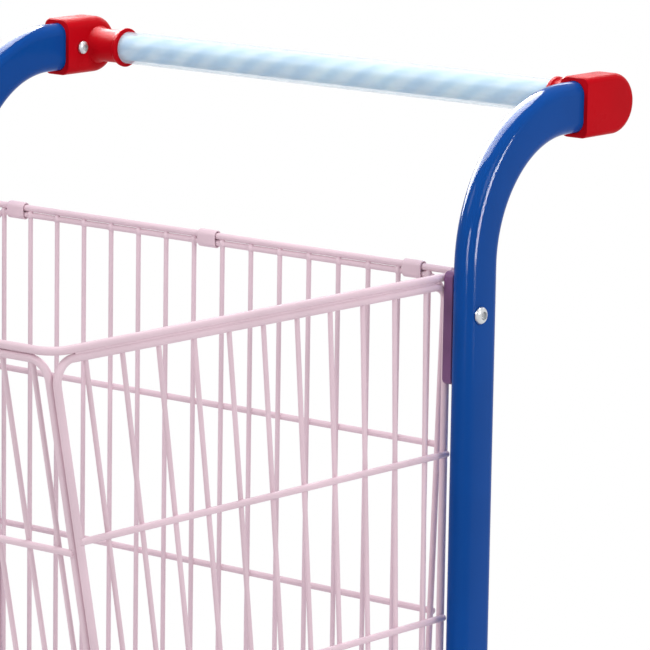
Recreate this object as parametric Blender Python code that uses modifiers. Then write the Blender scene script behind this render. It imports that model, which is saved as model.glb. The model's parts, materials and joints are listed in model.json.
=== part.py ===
"""Nesting basket trolley: two bent posts on a castored chassis carry a welded wire basket with a
swinging rear gate, and two end brackets hold the handle bar.

Metres, +Z up. The front faces -Y and the handle is at +Y; left and right are those of the person
who pushes, so left is +X. The origin is on the floor under the middle of the object.
"""

import math

import bmesh
import bpy
from mathutils import Vector

# Handle and posts
HANDLE_HEIGHT = 0.925
POST_SPACING = 0.4185
TUBE_WIDTH = 0.0315
TUBE_THICKNESS = 0.0155
POST_BEND_RADIUS = 0.086
POST_END_STRAIGHT = 0.0095
POST_FORWARD = 0.005

# Handle bracket and bar
BRACKET_WALL = 0.0025
BRACKET_WEB = 0.0035
BRACKET_GRIP = 0.019
BRACKET_OUTER_ROUNDING = 0.006
BRACKET_INNER_ROUNDING = 0.0065
BRACKET_TAIL = 0.0014
NECK_LENGTH = 0.021
NECK_WALL = 0.00275
NECK_FLARE = 0.0055
NECK_ROOT_DIAMETER = 0.027
COLLAR_LENGTH = 0.0035
COLLAR_STEP = 0.0021
COLLAR_ROUNDING = 0.001
COLLAR_BELL = 0.004
SLEEVE_WALL = 0.0022
CORE_DIAMETER = 0.016
CORE_GRIP = 0.0291

# Screws
SCREW_DIAMETER = 0.006
SCREW_HEAD_DIAMETER = 0.0105
SCREW_HEAD_HEIGHT = 0.0033
PLATE_SCREW_DROP = 0.020
PLATE_SCREW_FORWARD = 0.005
BRACKET_SCREW_HEAD = 0.0088
BRACKET_SCREW_SETBACK = 0.0130
BRACKET_SCREW_DROP = 0.0005
BRACKET_SCREW_LENGTH = 0.009

# Basket
RIM_DROP = 0.0933
RIM_LENGTH = 0.346
BASKET_DEPTH = 0.307
FLOOR_RISE = 0.028
WALL_TAPER = math.radians(1.6)
FRONT_LEAN = math.radians(11.4)
FRAME_ROD = 0.0048
ROW_ROD = 0.0040
WIRE = 0.0030
WIRE_INSET = 0.0007
WELD = 0.0008
ROW_OVERHANG = 0.0012
FRAME_BEND_RADIUS = 0.012
RIM_BEND_RADIUS = 0.012
ROW_DROPS = (0.107, 0.2075)
FRONT_ROW_OFFSET = 0.007
SIDE_WIRES = 11
SIDE_WIRE_REAR = 0.028
SIDE_WIRE_FRONT = 0.025
FRONT_WIRES = 16
FLOOR_WIRES = 12
FLOOR_ROWS = 2
PANEL_SETBACK = 0.009

# Mounting plates between the posts and the basket
PLATE_THICKNESS = 0.0065
PLATE_LENGTH = 0.027
PLATE_HEIGHT = 0.068
PLATE_RISE = 0.0045
PLATE_CORNER_RADIUS = 0.004

# Rear gate and its hinge clips
HINGE_ROD = 0.0042
HINGE_RISE = 0.002
GATE_ROD = 0.0038
GATE_WIRES = 16
GATE_ROW_DROPS = (0.107, 0.210)
GATE_SIDE_ROOM = 0.0045
GATE_STOP_ANGLE = math.radians(30)
GATE_BEND_RADIUS = 0.014
CLIP_ROOM = 0.0030
CLIP_WALL = 0.0010

# Chassis and the basket's cradle
CHASSIS_TAIL = 0.035
CHASSIS_FRONT = 0.315
CHASSIS_CLOSING = 0.0655
CHASSIS_STRAIGHT = 0.035
CHASSIS_BEND_RADIUS = 0.070
PLUG_LENGTH = 0.005
PLUG_ROUNDING = 0.00125
CRADLE_TUBE = 0.016
CRADLE_INSET = 0.0325
CRADLE_CLOSING = 0.015
CRADLE_REACH = 0.250
CRADLE_BEND_RADIUS = 0.022

# Castors
WHEEL_DIAMETER = 0.100
WHEEL_WIDTH = 0.026
WHEEL_ROOM = 0.0093
TYRE_DEPTH = 0.012
TYRE_ROUNDING = 0.004
HUB_BOSS_DIAMETER = 0.021
HUB_WEB = 0.009
CASTOR_TRAIL = 0.032
CASTOR_BOLT = 0.010
RACE_DIAMETER = 0.044
RACE_HEIGHT = 0.008
RACE_CHAMFER = 0.0024
CROWN_DIAMETER = 0.046
FORK_SHEET = 0.003
FORK_LEG_WIDTH = 0.026
FORK_LEG_ROOM = 0.003
FORK_EYE_DIAMETER = 0.024
HEX_ACROSS_CORNERS = 0.0185
HEX_HEIGHT = 0.0065
AXLE_DIAMETER = 0.008
AXLE_HEAD_DIAMETER = 0.014
AXLE_HEAD_HEIGHT = 0.004
REAR_CASTOR_BEHIND = 0.050
FRONT_CASTOR_SETBACK = 0.062

# Fits and facets
SEAT = 0.0003
RUN = 0.0004
CUT_PAST = 0.002
WELD_DISTANCE = 0.000001
SCREW_MERGE = 0.00001
ROUND_STEPS = 16
SMALL_STEPS = 10
BEND_STEP = math.radians(30)
ROD_FACETS = 1
TUBE_FACETS = 2
POST_BEND_STEP = math.radians(11.25)
ANGLE_SLACK = 0.001
TUBE_END_STEPS = 6
ROUNDING_STEPS = 3
DOME_STEPS = 3
HEX_SIDES = 6
SHARP_ANGLE = math.radians(35)

# Places that follow from the sizes
POST_X = POST_SPACING / 2
BRACKET_HEIGHT = TUBE_WIDTH + 2 * (SEAT + BRACKET_WALL)
BRACKET_THICKNESS = TUBE_THICKNESS + 2 * (SEAT + BRACKET_WALL)
BRACKET_REAR = BRACKET_HEIGHT / 2 + BRACKET_TAIL
TUBE_STOP = CORE_DIAMETER / 2 + BRACKET_WEB
BRACKET_MOUTH = TUBE_STOP + BRACKET_GRIP
HANDLE_REACH = POST_BEND_RADIUS + POST_END_STRAIGHT + BRACKET_MOUTH
HANDLE_Y = HANDLE_REACH - POST_FORWARD
NECK_DIAMETER = CORE_DIAMETER + 2 * NECK_WALL
COLLAR_DIAMETER = NECK_DIAMETER + 2 * COLLAR_STEP
COLLAR_X = POST_X - BRACKET_THICKNESS / 2 - NECK_LENGTH - COLLAR_LENGTH
RIM_Z = HANDLE_HEIGHT - RIM_DROP
PLATE_X = POST_X - TUBE_THICKNESS / 2 - SEAT - PLATE_THICKNESS / 2
WALL_X = PLATE_X - PLATE_THICKNESS / 2 - SEAT - FRAME_ROD / 2
STACK = FRAME_ROD + SEAT
NOSE_X = WALL_X - RIM_LENGTH * math.tan(WALL_TAPER)
HINGE_Y = (RIM_LENGTH + FRAME_ROD / 2 - HANDLE_Y - BRACKET_REAR) / 2
NUT_TOP = -RACE_HEIGHT - FORK_SHEET - 3 * SEAT
CASTOR_HEIGHT = WHEEL_DIAMETER + WHEEL_ROOM + HEX_HEIGHT + SEAT - NUT_TOP
CHASSIS_Z = CASTOR_HEIGHT + TUBE_THICKNESS / 2
CHASSIS_REAR = REAR_CASTOR_BEHIND + CHASSIS_TAIL
CHASSIS_NOSE = POST_X - CHASSIS_CLOSING
POST_FOOT = CASTOR_HEIGHT + TUBE_THICKNESS + SEAT
FRONT_DEPTH = BASKET_DEPTH - FLOOR_RISE
FLOOR_FRONT = RIM_LENGTH - FRONT_DEPTH * math.tan(FRONT_LEAN)
FLOOR_SLOPE = math.atan(FLOOR_RISE / FLOOR_FRONT)
HINGE_Z = RIM_Z + HINGE_RISE
HINGE_STACK = (HINGE_ROD + GATE_ROD) / 2 + SEAT
GATE_STOP = (GATE_ROD + FRAME_ROD) / 2 + SEAT
GATE_DEPTH = HINGE_RISE + BASKET_DEPTH - GATE_STOP * math.sin(GATE_STOP_ANGLE)
GATE_HALF = WALL_X - (FRAME_ROD + GATE_ROD) / 2 - GATE_SIDE_ROOM
GATE_PITCH = 2 * GATE_HALF / GATE_WIRES

# A drawing in local x and y stands upright, x rearward and y up, with its normal along +X
UPRIGHT = (math.pi / 2, 0, math.pi / 2)
# A turned shape lies with its axis along +X or -X
ALONG_X = (0, math.pi / 2, 0)
AGAINST_X = (0, -math.pi / 2, 0)


def clear_scene():
    for obj in list(bpy.data.objects):
        bpy.data.objects.remove(obj, do_unlink=True)


def new_collection(name):
    collection = bpy.data.collections.new(name)
    bpy.context.scene.collection.children.link(collection)
    return collection


def paint(name, colour, roughness, metallic=0.0):
    material = bpy.data.materials.new(name)
    material.use_nodes = True
    shader = material.node_tree.nodes["Principled BSDF"]
    shader.inputs["Base Color"].default_value = (*colour, 1.0)
    shader.inputs["Roughness"].default_value = roughness
    shader.inputs["Metallic"].default_value = metallic
    return material


def add(name, data, material, location=(0, 0, 0), rotation=(0, 0, 0), parent=None):
    """One named piece, placed under the datum or under its own empty."""
    obj = bpy.data.objects.new(name, data)
    PARTS.objects.link(obj)
    obj.parent = parent or DATUM
    obj.location = location
    obj.rotation_euler = rotation
    data.materials.append(material)
    if isinstance(data, bpy.types.Mesh):
        data.shade_smooth()
        data.set_sharp_from_angle(angle=SHARP_ANGLE)
    return obj


def add_empty(name, location, parent=None):
    empty = bpy.data.objects.new(name, None)
    PARTS.objects.link(empty)
    empty.parent = parent
    empty.location = location
    return empty


def helper(name, data, like=None, location=(0, 0, 0), rotation=(0, 0, 0)):
    """A shape that only cuts or joins another, in that one's place or in its own."""
    obj = bpy.data.objects.new(name, data)
    CUTTERS.objects.link(obj)
    obj.parent = like.parent if like else DATUM
    obj.location = like.location if like else location
    obj.rotation_euler = like.rotation_euler if like else rotation
    obj.hide_render = True
    obj.display_type = "WIRE"
    return obj


def combine(target, tool, operation):
    modifier = target.modifiers.new(tool.name, "BOOLEAN")
    modifier.operation = operation
    modifier.object = tool


def unite(target, tool):
    combine(target, tool, "UNION")


def cut(target, tool):
    combine(target, tool, "DIFFERENCE")


def soften(obj, width, segments=2):
    modifier = obj.modifiers.new("rounded_edges", "BEVEL")
    modifier.width = width
    modifier.segments = segments
    modifier.limit_method = "ANGLE"
    modifier.angle_limit = SHARP_ANGLE


def arc(centre, radius, start, end, steps):
    """Points of an arc in the drawing plane, both ends included."""
    turns = [start + (end - start) * step / steps for step in range(steps + 1)]
    return [Vector((centre[0] + radius * math.cos(a), centre[1] + radius * math.sin(a), 0)) for a in turns]


def rounded_path(corners, radius, closed=False, step_angle=BEND_STEP):
    """The corners joined by straight runs, with every bend an arc of this radius."""
    corners = [Vector(corner) for corner in corners]
    points = []
    for index, corner in enumerate(corners):
        if not closed and index in (0, len(corners) - 1):
            points.append(corner)
            continue
        before = (corners[index - 1] - corner).normalized()
        after = (corners[(index + 1) % len(corners)] - corner).normalized()
        half = before.angle(after) / 2
        centre = corner + (before + after).normalized() * radius / math.sin(half)
        start = (corner + before * radius / math.tan(half) - centre).normalized()
        end = (corner + after * radius / math.tan(half) - centre).normalized()
        steps = math.ceil(start.angle(end) / step_angle - ANGLE_SLACK)
        points += [centre + start.slerp(end, step / steps) * radius for step in range(steps + 1)]
    return points


def curve_of(name, paths, closed):
    curve = bpy.data.curves.new(name, "CURVE")
    curve.dimensions = "3D"
    for path in paths:
        spline = curve.splines.new("POLY")
        spline.points.add(len(path) - 1)
        spline.use_cyclic_u = closed
        for point, place in zip(spline.points, path):
            point.co = (*place, 1.0)
    return curve


def mesh_of(curve):
    """The curve's surface as a mesh, with its loose caps welded on."""
    holder = bpy.data.objects.new(curve.name, curve)
    bpy.context.scene.collection.objects.link(holder)
    graph = bpy.context.evaluated_depsgraph_get()
    mesh = bpy.data.meshes.new_from_object(holder.evaluated_get(graph))
    bpy.data.objects.remove(holder)
    shape = bmesh.new()
    shape.from_mesh(mesh)
    bmesh.ops.remove_doubles(shape, verts=shape.verts, dist=WELD_DISTANCE)
    bmesh.ops.recalc_face_normals(shape, faces=shape.faces)
    shape.to_mesh(mesh)
    shape.free()
    return mesh


def rods(name, paths, diameter, resolution=ROD_FACETS, closed=False):
    """Round rods along the paths, as one mesh."""
    curve = curve_of(name, paths, closed)
    curve.bevel_depth = diameter / 2
    curve.bevel_resolution = resolution
    curve.use_fill_caps = not closed
    return mesh_of(curve)


def flat_oval(name, width, thickness):
    """The section of a flat-sided oval tube, as a guide to sweep."""
    radius = thickness / 2
    offset = width / 2 - radius
    right = arc((offset, 0), radius, -math.pi / 2, math.pi / 2, TUBE_END_STEPS)
    left = arc((-offset, 0), radius, math.pi / 2, 3 * math.pi / 2, TUBE_END_STEPS)
    return helper(name, curve_of(name, [right + left], True))


def oval_tube(name, path, section):
    """The oval section swept along a path that is drawn in the plane of its width."""
    curve = curve_of(name, [path], False)
    curve.bevel_mode = "OBJECT"
    curve.bevel_object = section
    curve.use_fill_caps = True
    return mesh_of(curve)


def slab(name, outlines, thickness):
    """A flat outline, with any holes in it, given a thickness about its own plane."""
    curve = curve_of(name, outlines, True)
    curve.dimensions = "2D"
    curve.fill_mode = "BOTH"
    curve.extrude = thickness / 2
    return mesh_of(curve)


def turned_profile(name, profile, closed=False):
    """Edges through (radius, height) points, from top to bottom on the outer side."""
    mesh = bpy.data.meshes.new(name)
    last = len(profile) if closed else len(profile) - 1
    edges = [(i, (i + 1) % len(profile)) for i in range(last)]
    mesh.from_pydata([(radius, 0, height) for radius, height in profile], edges, [])
    return mesh


def turn(obj, steps=ROUND_STEPS):
    modifier = obj.modifiers.new("turned", "SCREW")
    modifier.steps = steps
    modifier.render_steps = steps
    modifier.use_merge_vertices = True
    modifier.merge_threshold = SCREW_MERGE
    modifier.use_smooth_shade = True
    return obj


def prism(name, diameter, length, sides):
    """A cylinder or hexagon about local z, from z = 0 up to its length."""
    mesh = bpy.data.meshes.new(name)
    shape = bmesh.new()
    bmesh.ops.create_cone(
        shape, cap_ends=True, segments=sides, radius1=diameter / 2, radius2=diameter / 2, depth=length
    )
    bmesh.ops.translate(shape, verts=shape.verts, vec=(0, 0, length / 2))
    shape.to_mesh(mesh)
    shape.free()
    return mesh


def bore(name, diameter, length, location, rotation):
    return helper(name, prism(name, diameter, length, SMALL_STEPS), None, location, rotation)


def side_name(side):
    return "left" if side > 0 else "right"


def inward(side):
    """The rotation that lays a turned shape with its axis from this side towards the middle."""
    return AGAINST_X if side > 0 else ALONG_X


def post(side, section):
    path = rounded_path(
        [(0, POST_FOOT, 0), (0, HANDLE_HEIGHT, 0), (HANDLE_REACH - TUBE_STOP, HANDLE_HEIGHT, 0)],
        POST_BEND_RADIUS,
        step_angle=POST_BEND_STEP,
    )
    name = side_name(side) + "_post"
    return add(name, oval_tube(name, path, section), BLUE, (side * POST_X, -POST_FORWARD, 0), UPRIGHT)


def bracket_body(name, side):
    """A round-ended body about the handle's axis, with soft rims, whose tail is longer on its outer side."""
    half = BRACKET_HEIGHT / 2
    face = BRACKET_THICKNESS / 2
    levels = []
    for rounding, direction in ((BRACKET_OUTER_ROUNDING, 1), (BRACKET_INNER_ROUNDING, -1)):
        turns = [math.pi / 2 * step / ROUNDING_STEPS for step in range(ROUNDING_STEPS + 1)]
        rim = [(face - rounding * (1 - math.cos(a)), rounding * (1 - math.sin(a))) for a in turns]
        levels += [(direction * x, shrink) for x, shrink in (rim if direction > 0 else reversed(rim))]
    steps = ROUND_STEPS // 2
    places = []
    for x, shrink in levels:
        height = half - shrink
        tail = BRACKET_TAIL * min(1, (x + face) / (2 * face - BRACKET_OUTER_ROUNDING))
        nose = arc((0, 0), 1, -math.pi / 2, math.pi / 2, steps)
        places.append((side * x, -BRACKET_MOUTH, -height))
        places += [(side * x, (height + tail) * point.x, height * point.y) for point in nose]
        places.append((side * x, -BRACKET_MOUTH, height))
    count = steps + 3
    starts = [count * level for level in range(len(levels))]
    faces = [tuple(range(count)), tuple(range(starts[-1], starts[-1] + count))]
    faces.append(tuple(starts) + tuple(start + count - 1 for start in reversed(starts)))
    for first, second in zip(starts, starts[1:]):
        faces += [(first + k, first + k + 1, second + k + 1, second + k) for k in range(count - 1)]
    mesh = bpy.data.meshes.new(name)
    mesh.from_pydata(places, [], faces)
    shape = bmesh.new()
    shape.from_mesh(mesh)
    bmesh.ops.recalc_face_normals(shape, faces=shape.faces)
    shape.to_mesh(mesh)
    shape.free()
    return mesh


def bracket(side, pocket_section):
    """The moulded end bracket: an oval socket for the tube and a waisted neck for the handle bar."""
    name = side_name(side) + "_handle_bracket"
    place = (side * POST_X, HANDLE_Y, HANDLE_HEIGHT)
    obj = add(name, bracket_body(name, side), RED, place)

    face = BRACKET_THICKNESS / 2
    root = NECK_ROOT_DIAMETER / 2
    lip = COLLAR_DIAMETER / 2
    waist = NECK_DIAMETER / 2
    end = face + NECK_LENGTH + COLLAR_LENGTH
    neck_profile = [
        (0, end),
        (lip - COLLAR_ROUNDING, end),
        (lip, end - COLLAR_ROUNDING),
        (lip, end - COLLAR_LENGTH + COLLAR_ROUNDING),
        (lip - COLLAR_ROUNDING, end - COLLAR_LENGTH),
        (waist, end - COLLAR_LENGTH - COLLAR_BELL),
        (waist, face + NECK_FLARE),
        (root, face - WELD),
        (root, 0),
        (0, 0),
    ]
    neck = helper(name + "_neck", turned_profile(name + "_neck", neck_profile), None, place, inward(side))
    unite(obj, turn(neck))

    pocket = [(-BRACKET_MOUTH - CUT_PAST, 0, 0), (-TUBE_STOP + SEAT, 0, 0)]
    socket = oval_tube(name + "_pocket", pocket, pocket_section)
    cut(obj, helper(name + "_pocket", socket, None, place, UPRIGHT))
    core_end = side * (COLLAR_X + CORE_GRIP + SEAT)
    length = CORE_GRIP + SEAT + CUT_PAST
    seat_bore = prism(name + "_bore", CORE_DIAMETER + 2 * SEAT, length, ROUND_STEPS)
    cut(obj, helper(name + "_bore", seat_bore, None, (core_end, HANDLE_Y, HANDLE_HEIGHT), inward(side)))
    return obj


def screw(name, length, location, rotation, head=SCREW_HEAD_DIAMETER):
    """A button-head screw whose head sits on local z = 0 and whose shank runs down."""
    shank = SCREW_DIAMETER / 2
    dome = []
    for step in range(DOME_STEPS + 1):
        angle = math.pi / 2 * step / DOME_STEPS
        dome.append((head / 2 * math.sin(angle), SCREW_HEAD_HEIGHT * math.cos(angle)))
    profile = [*dome, (shank, 0), (shank, -length), (0, -length)]
    return turn(add(name, turned_profile(name, profile), ZINC, location, rotation), SMALL_STEPS)


def bracket_screw(side, bracket_part, post_part):
    """The screw through the bracket's inner face into the tube end."""
    name = side_name(side) + "_bracket_screw"
    place = (
        side * (POST_X - BRACKET_THICKNESS / 2 - SEAT),
        HANDLE_Y - BRACKET_MOUTH + BRACKET_SCREW_SETBACK,
        HANDLE_HEIGHT - BRACKET_SCREW_DROP,
    )
    screw(name, BRACKET_SCREW_LENGTH, place, inward(side), BRACKET_SCREW_HEAD)
    depth = BRACKET_SCREW_LENGTH + SEAT
    start = (place[0] + side * depth, place[1], place[2])
    hole = bore(name + "_hole", SCREW_DIAMETER + 2 * SEAT, depth + CUT_PAST, start, inward(side))
    cut(bracket_part, hole)
    cut(post_part, hole)


def basket_plate(side, post_part):
    """The flat plate between the post and the basket's rim, and the screw that holds it."""
    name = side_name(side) + "_basket_plate"
    top = RIM_Z + PLATE_RISE
    rear = TUBE_WIDTH / 2 - POST_FORWARD
    corners = [
        (rear - PLATE_LENGTH, top - PLATE_HEIGHT, 0),
        (rear, top - PLATE_HEIGHT, 0),
        (rear, top, 0),
        (rear - PLATE_LENGTH, top, 0),
    ]
    outline = rounded_path(corners, PLATE_CORNER_RADIUS, closed=True)
    plate = add(name, slab(name, [outline], PLATE_THICKNESS), PLUM, (side * PLATE_X, 0, 0), UPRIGHT)

    screw_name = side_name(side) + "_plate_screw"
    outer = POST_X + TUBE_THICKNESS / 2 + SEAT
    length = outer - PLATE_X + PLATE_THICKNESS / 2
    place = (side * outer, -POST_FORWARD - PLATE_SCREW_FORWARD, RIM_Z - PLATE_SCREW_DROP)
    screw(screw_name, length, place, inward(-side))
    start = (side * (outer - length - CUT_PAST), place[1], place[2])
    through = length + 2 * CUT_PAST
    hole = bore(screw_name + "_hole", SCREW_DIAMETER + 2 * SEAT, through, start, inward(-side))
    cut(plate, hole)
    cut(post_part, hole)


def handle_bar():
    """A steel core held in both brackets, inside a clear sleeve between their collars."""
    place = (0, HANDLE_Y, HANDLE_HEIGHT)
    half = COLLAR_X + CORE_GRIP
    core = [(0, half), (CORE_DIAMETER / 2, half), (CORE_DIAMETER / 2, -half), (0, -half)]
    turn(add("handle_core", turned_profile("handle_core", core), ZINC, place, ALONG_X))
    end = COLLAR_X - SEAT
    inner = CORE_DIAMETER / 2 + SEAT
    outer = inner + SLEEVE_WALL
    sleeve = [(outer, end), (outer, -end), (inner, -end), (inner, end)]
    turn(add("handle_sleeve", turned_profile("handle_sleeve", sleeve, True), CLEAR, place, ALONG_X))


def rim():
    """The rim rod round the sides and the front of the basket."""
    tail = HINGE_ROD / 2
    left = [(WALL_X + tail * math.tan(WALL_TAPER), tail, 0), (NOSE_X, -RIM_LENGTH, 0)]
    right = [(-x, y, z) for x, y, z in reversed(left)]
    path = rounded_path(left + right, RIM_BEND_RADIUS)
    add("rim_rod", rods("rim_rod", [path], FRAME_ROD), PINK, (0, 0, RIM_Z))


def hinge_rod():
    """The straight rod across the rear, between the rim's two ends, that the gate hangs on."""
    end = WALL_X - FRAME_ROD / 2 - SEAT
    path = [(end, 0, 0), (-end, 0, 0)]
    add("hinge_rod", rods("hinge_rod", [path], HINGE_ROD, TUBE_FACETS), PINK, (0, 0, HINGE_Z))


def grille(name, frame, wires, rows, offsets, location, rotation, frame_rod=FRAME_ROD):
    """A panel: a bent frame rod, with thin wires and then rows welded on at their offsets from it."""
    panel = add(name, rods(name, [frame], frame_rod, closed=True), PINK, location, rotation)
    for label, paths, diameter, offset in (
        (name + "_wires", wires, WIRE, offsets[0]),
        (name + "_rows", rows, ROW_ROD, offsets[1]),
    ):
        raised = [[(x, y, offset) for x, y in path] for path in paths]
        unite(panel, helper(label, rods(label, raised, diameter), panel))


def wall_offsets(outward):
    """The wires lie a little inside the frame's plane, and the rows on the outside of the wires."""
    row = (WIRE + ROW_ROD) / 2 - WELD - WIRE_INSET
    return (-outward * WIRE_INSET, outward * row)


def nose_at(drop):
    """How far ahead of the hinge the leaning front is, at this drop below the rim."""
    return RIM_LENGTH - drop * math.tan(FRONT_LEAN)


def side_panel(side):
    """A side wall, whose wires fan from upright at the rear to the lean of the front."""
    corners = [
        (-PANEL_SETBACK, -STACK, 0),
        (-nose_at(STACK), -STACK, 0),
        (-nose_at(FRONT_DEPTH), -FRONT_DEPTH, 0),
        (-PANEL_SETBACK, -BASKET_DEPTH, 0),
    ]
    wires = []
    slope = math.tan(FLOOR_SLOPE)
    closing = math.tan(FRONT_LEAN) / RIM_LENGTH
    for index in range(SIDE_WIRES):
        share = index / (SIDE_WIRES - 1)
        reach = SIDE_WIRE_REAR + (RIM_LENGTH - SIDE_WIRE_FRONT - SIDE_WIRE_REAR) * share
        drop = (BASKET_DEPTH - slope * reach) / (1 - slope * closing * reach)
        wires.append([(-reach * (1 - closing * STACK), -STACK), (-reach * (1 - closing * drop), -drop)])
    rear = ROW_OVERHANG - PANEL_SETBACK
    rows = [[(rear, -drop), (-nose_at(drop) - ROW_OVERHANG, -drop)] for drop in ROW_DROPS]
    turned_in = (UPRIGHT[0], 0, UPRIGHT[2] - side * WALL_TAPER)
    grille(
        side_name(side) + "_side_panel",
        rounded_path(corners, FRAME_BEND_RADIUS, closed=True),
        wires,
        rows,
        wall_offsets(side),
        (side * WALL_X, 0, RIM_Z),
        turned_in,
    )


def front_panel():
    """The leaning front, between the front edges of the two side panels."""
    fall = math.cos(FRONT_LEAN)
    narrow = math.tan(WALL_TAPER) * math.sin(FRONT_LEAN)
    top = -STACK / fall
    bottom = -FRONT_DEPTH / fall
    half_top = NOSE_X - STACK - narrow * top
    half_bottom = NOSE_X - STACK - narrow * bottom
    corners = [
        (-half_top, top, 0),
        (half_top, top, 0),
        (half_bottom, bottom, 0),
        (-half_bottom, bottom, 0),
    ]
    wires = []
    for index in range(FRONT_WIRES):
        share = (2 * index + 1) / FRONT_WIRES - 1
        wires.append([(share * half_top, top), (share * half_bottom, bottom)])
    rows = []
    for drop in ROW_DROPS:
        down = -(drop + FRONT_ROW_OFFSET) / fall
        half = NOSE_X - STACK - narrow * down + ROW_OVERHANG
        rows.append([(-half, down), (half, down)])
    grille(
        "front_panel",
        rounded_path(corners, FRAME_BEND_RADIUS, closed=True),
        wires,
        rows,
        wall_offsets(1),
        (0, -RIM_LENGTH, RIM_Z),
        (math.pi / 2 + FRONT_LEAN, 0, 0),
    )


def floor_panel():
    """The floor, rising to the front; its rear run, behind the gate's bottom rod, is the gate's stop."""
    stretch = 1 / math.cos(FLOOR_SLOPE)
    rear = GATE_STOP * math.cos(GATE_STOP_ANGLE) * stretch
    front = -(FLOOR_FRONT - STACK) * stretch
    half_rear = WALL_X - STACK
    half_front = half_rear + front * math.tan(WALL_TAPER)
    corners = [
        (half_rear, rear, 0),
        (-half_rear, rear, 0),
        (-half_front, front, 0),
        (half_front, front, 0),
    ]
    below = -((FRAME_ROD + WIRE) / 2 - WELD)
    wires = []
    for index in range(FLOOR_WIRES):
        share = 2 * (index + 1) / (FLOOR_WIRES + 1) - 1
        wires.append([(share * half_rear, rear + ROW_OVERHANG), (share * half_front, front - ROW_OVERHANG)])
    rows = []
    for index in range(FLOOR_ROWS):
        along = rear + (front - rear) * (index + 1) / (FLOOR_ROWS + 1)
        half = half_rear + along * math.tan(WALL_TAPER)
        rows.append([(-half, along), (half, along)])
    grille(
        "floor_panel",
        rounded_path(corners, FRAME_BEND_RADIUS, closed=True),
        wires,
        rows,
        (below, below + (WIRE + ROW_ROD) / 2 - WELD),
        (0, 0, RIM_Z - BASKET_DEPTH),
        (-FLOOR_SLOPE, 0, 0),
    )


def rear_gate():
    """The gate hangs from the hinge rod, so its origin is on that rod's axis."""
    half_bottom = GATE_HALF - GATE_DEPTH * math.tan(WALL_TAPER)
    corners = [
        (-GATE_HALF, -HINGE_STACK, 0),
        (GATE_HALF, -HINGE_STACK, 0),
        (half_bottom, -GATE_DEPTH, 0),
        (-half_bottom, -GATE_DEPTH, 0),
    ]
    places = [GATE_PITCH * (index - (GATE_WIRES - 1) / 2) for index in range(GATE_WIRES)]
    wires = [[(x, -HINGE_STACK), (x, -GATE_DEPTH)] for x in places]
    rows = []
    for drop in GATE_ROW_DROPS:
        half = GATE_HALF - (drop - HINGE_STACK) * math.tan(WALL_TAPER) + ROW_OVERHANG
        rows.append([(-half, -drop), (half, -drop)])
    grille(
        "rear_gate",
        rounded_path(corners, GATE_BEND_RADIUS, closed=True),
        wires,
        rows,
        wall_offsets(-1),
        (0, 0, HINGE_Z),
        (math.pi / 2, 0, 0),
        GATE_ROD,
    )


def hinge_loop(room):
    """A round-ended loop about the hinge rod and the gate's top rod, with this much room round both."""
    upper = arc((0, 0), HINGE_ROD / 2 + room, 0, math.pi, TUBE_END_STEPS)
    lower = arc((0, -HINGE_STACK), GATE_ROD / 2 + room, math.pi, 2 * math.pi, TUBE_END_STEPS)
    return upper + lower


def hinge_clips():
    """Three strap clips carry the gate: one in the middle gap and one in each end gap."""
    end_gap = GATE_PITCH * (GATE_WIRES / 2 - 1)
    width = GATE_PITCH - WIRE - 2 * CLIP_ROOM
    for name, x in (("left", end_gap), ("middle", 0), ("right", -end_gap)):
        label = name + "_hinge_clip"
        loops = [hinge_loop(RUN + CLIP_WALL), hinge_loop(RUN)]
        add(label, slab(label, loops, width), PINK, (x, 0, HINGE_Z), UPRIGHT)


def chassis_half_width(y):
    """The rail's distance from the middle: straight under the posts, then closing to the nose."""
    if y > -CHASSIS_STRAIGHT:
        return POST_X
    share = (-y - CHASSIS_STRAIGHT) / (CHASSIS_FRONT - CHASSIS_STRAIGHT)
    return POST_X - CHASSIS_CLOSING * share


def chassis(section):
    """The U-shaped base tube, open at the rear so that another trolley can push in."""
    left = [
        (POST_X, CHASSIS_REAR, 0),
        (POST_X, -CHASSIS_STRAIGHT, 0),
        (CHASSIS_NOSE, -CHASSIS_FRONT, 0),
    ]
    right = [(-x, y, z) for x, y, z in reversed(left)]
    path = rounded_path(left + right, CHASSIS_BEND_RADIUS)
    base = add("chassis", oval_tube("chassis", path, section), BLUE, (0, 0, CHASSIS_Z))
    for side in (1, -1):
        name = side_name(side) + "_chassis_plug"
        end = [(0, 0, 0), (0, PLUG_LENGTH, 0)]
        place = (side * POST_X, CHASSIS_REAR + SEAT, CHASSIS_Z)
        soften(add(name, oval_tube(name, end, section), BLACK, place), PLUG_ROUNDING, 1)
    return base


def cradle():
    """The bent tube between the posts that the basket's floor rests on."""
    below = FRAME_ROD / 2 + WIRE - WELD + SEAT + CRADLE_TUBE / 2
    end = POST_X - TUBE_THICKNESS / 2 - SEAT
    rail = end - CRADLE_INSET
    left = [
        (end, -POST_FORWARD, -below),
        (rail, -POST_FORWARD, -below),
        (rail - CRADLE_CLOSING, -CRADLE_REACH, -below),
    ]
    right = [(-x, y, z) for x, y, z in reversed(left)]
    path = rounded_path(left + right, CRADLE_BEND_RADIUS)
    tube = rods("basket_cradle", [path], CRADLE_TUBE, TUBE_FACETS)
    add("basket_cradle", tube, BLUE, (0, 0, RIM_Z - BASKET_DEPTH), (-FLOOR_SLOPE, 0, 0))


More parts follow.
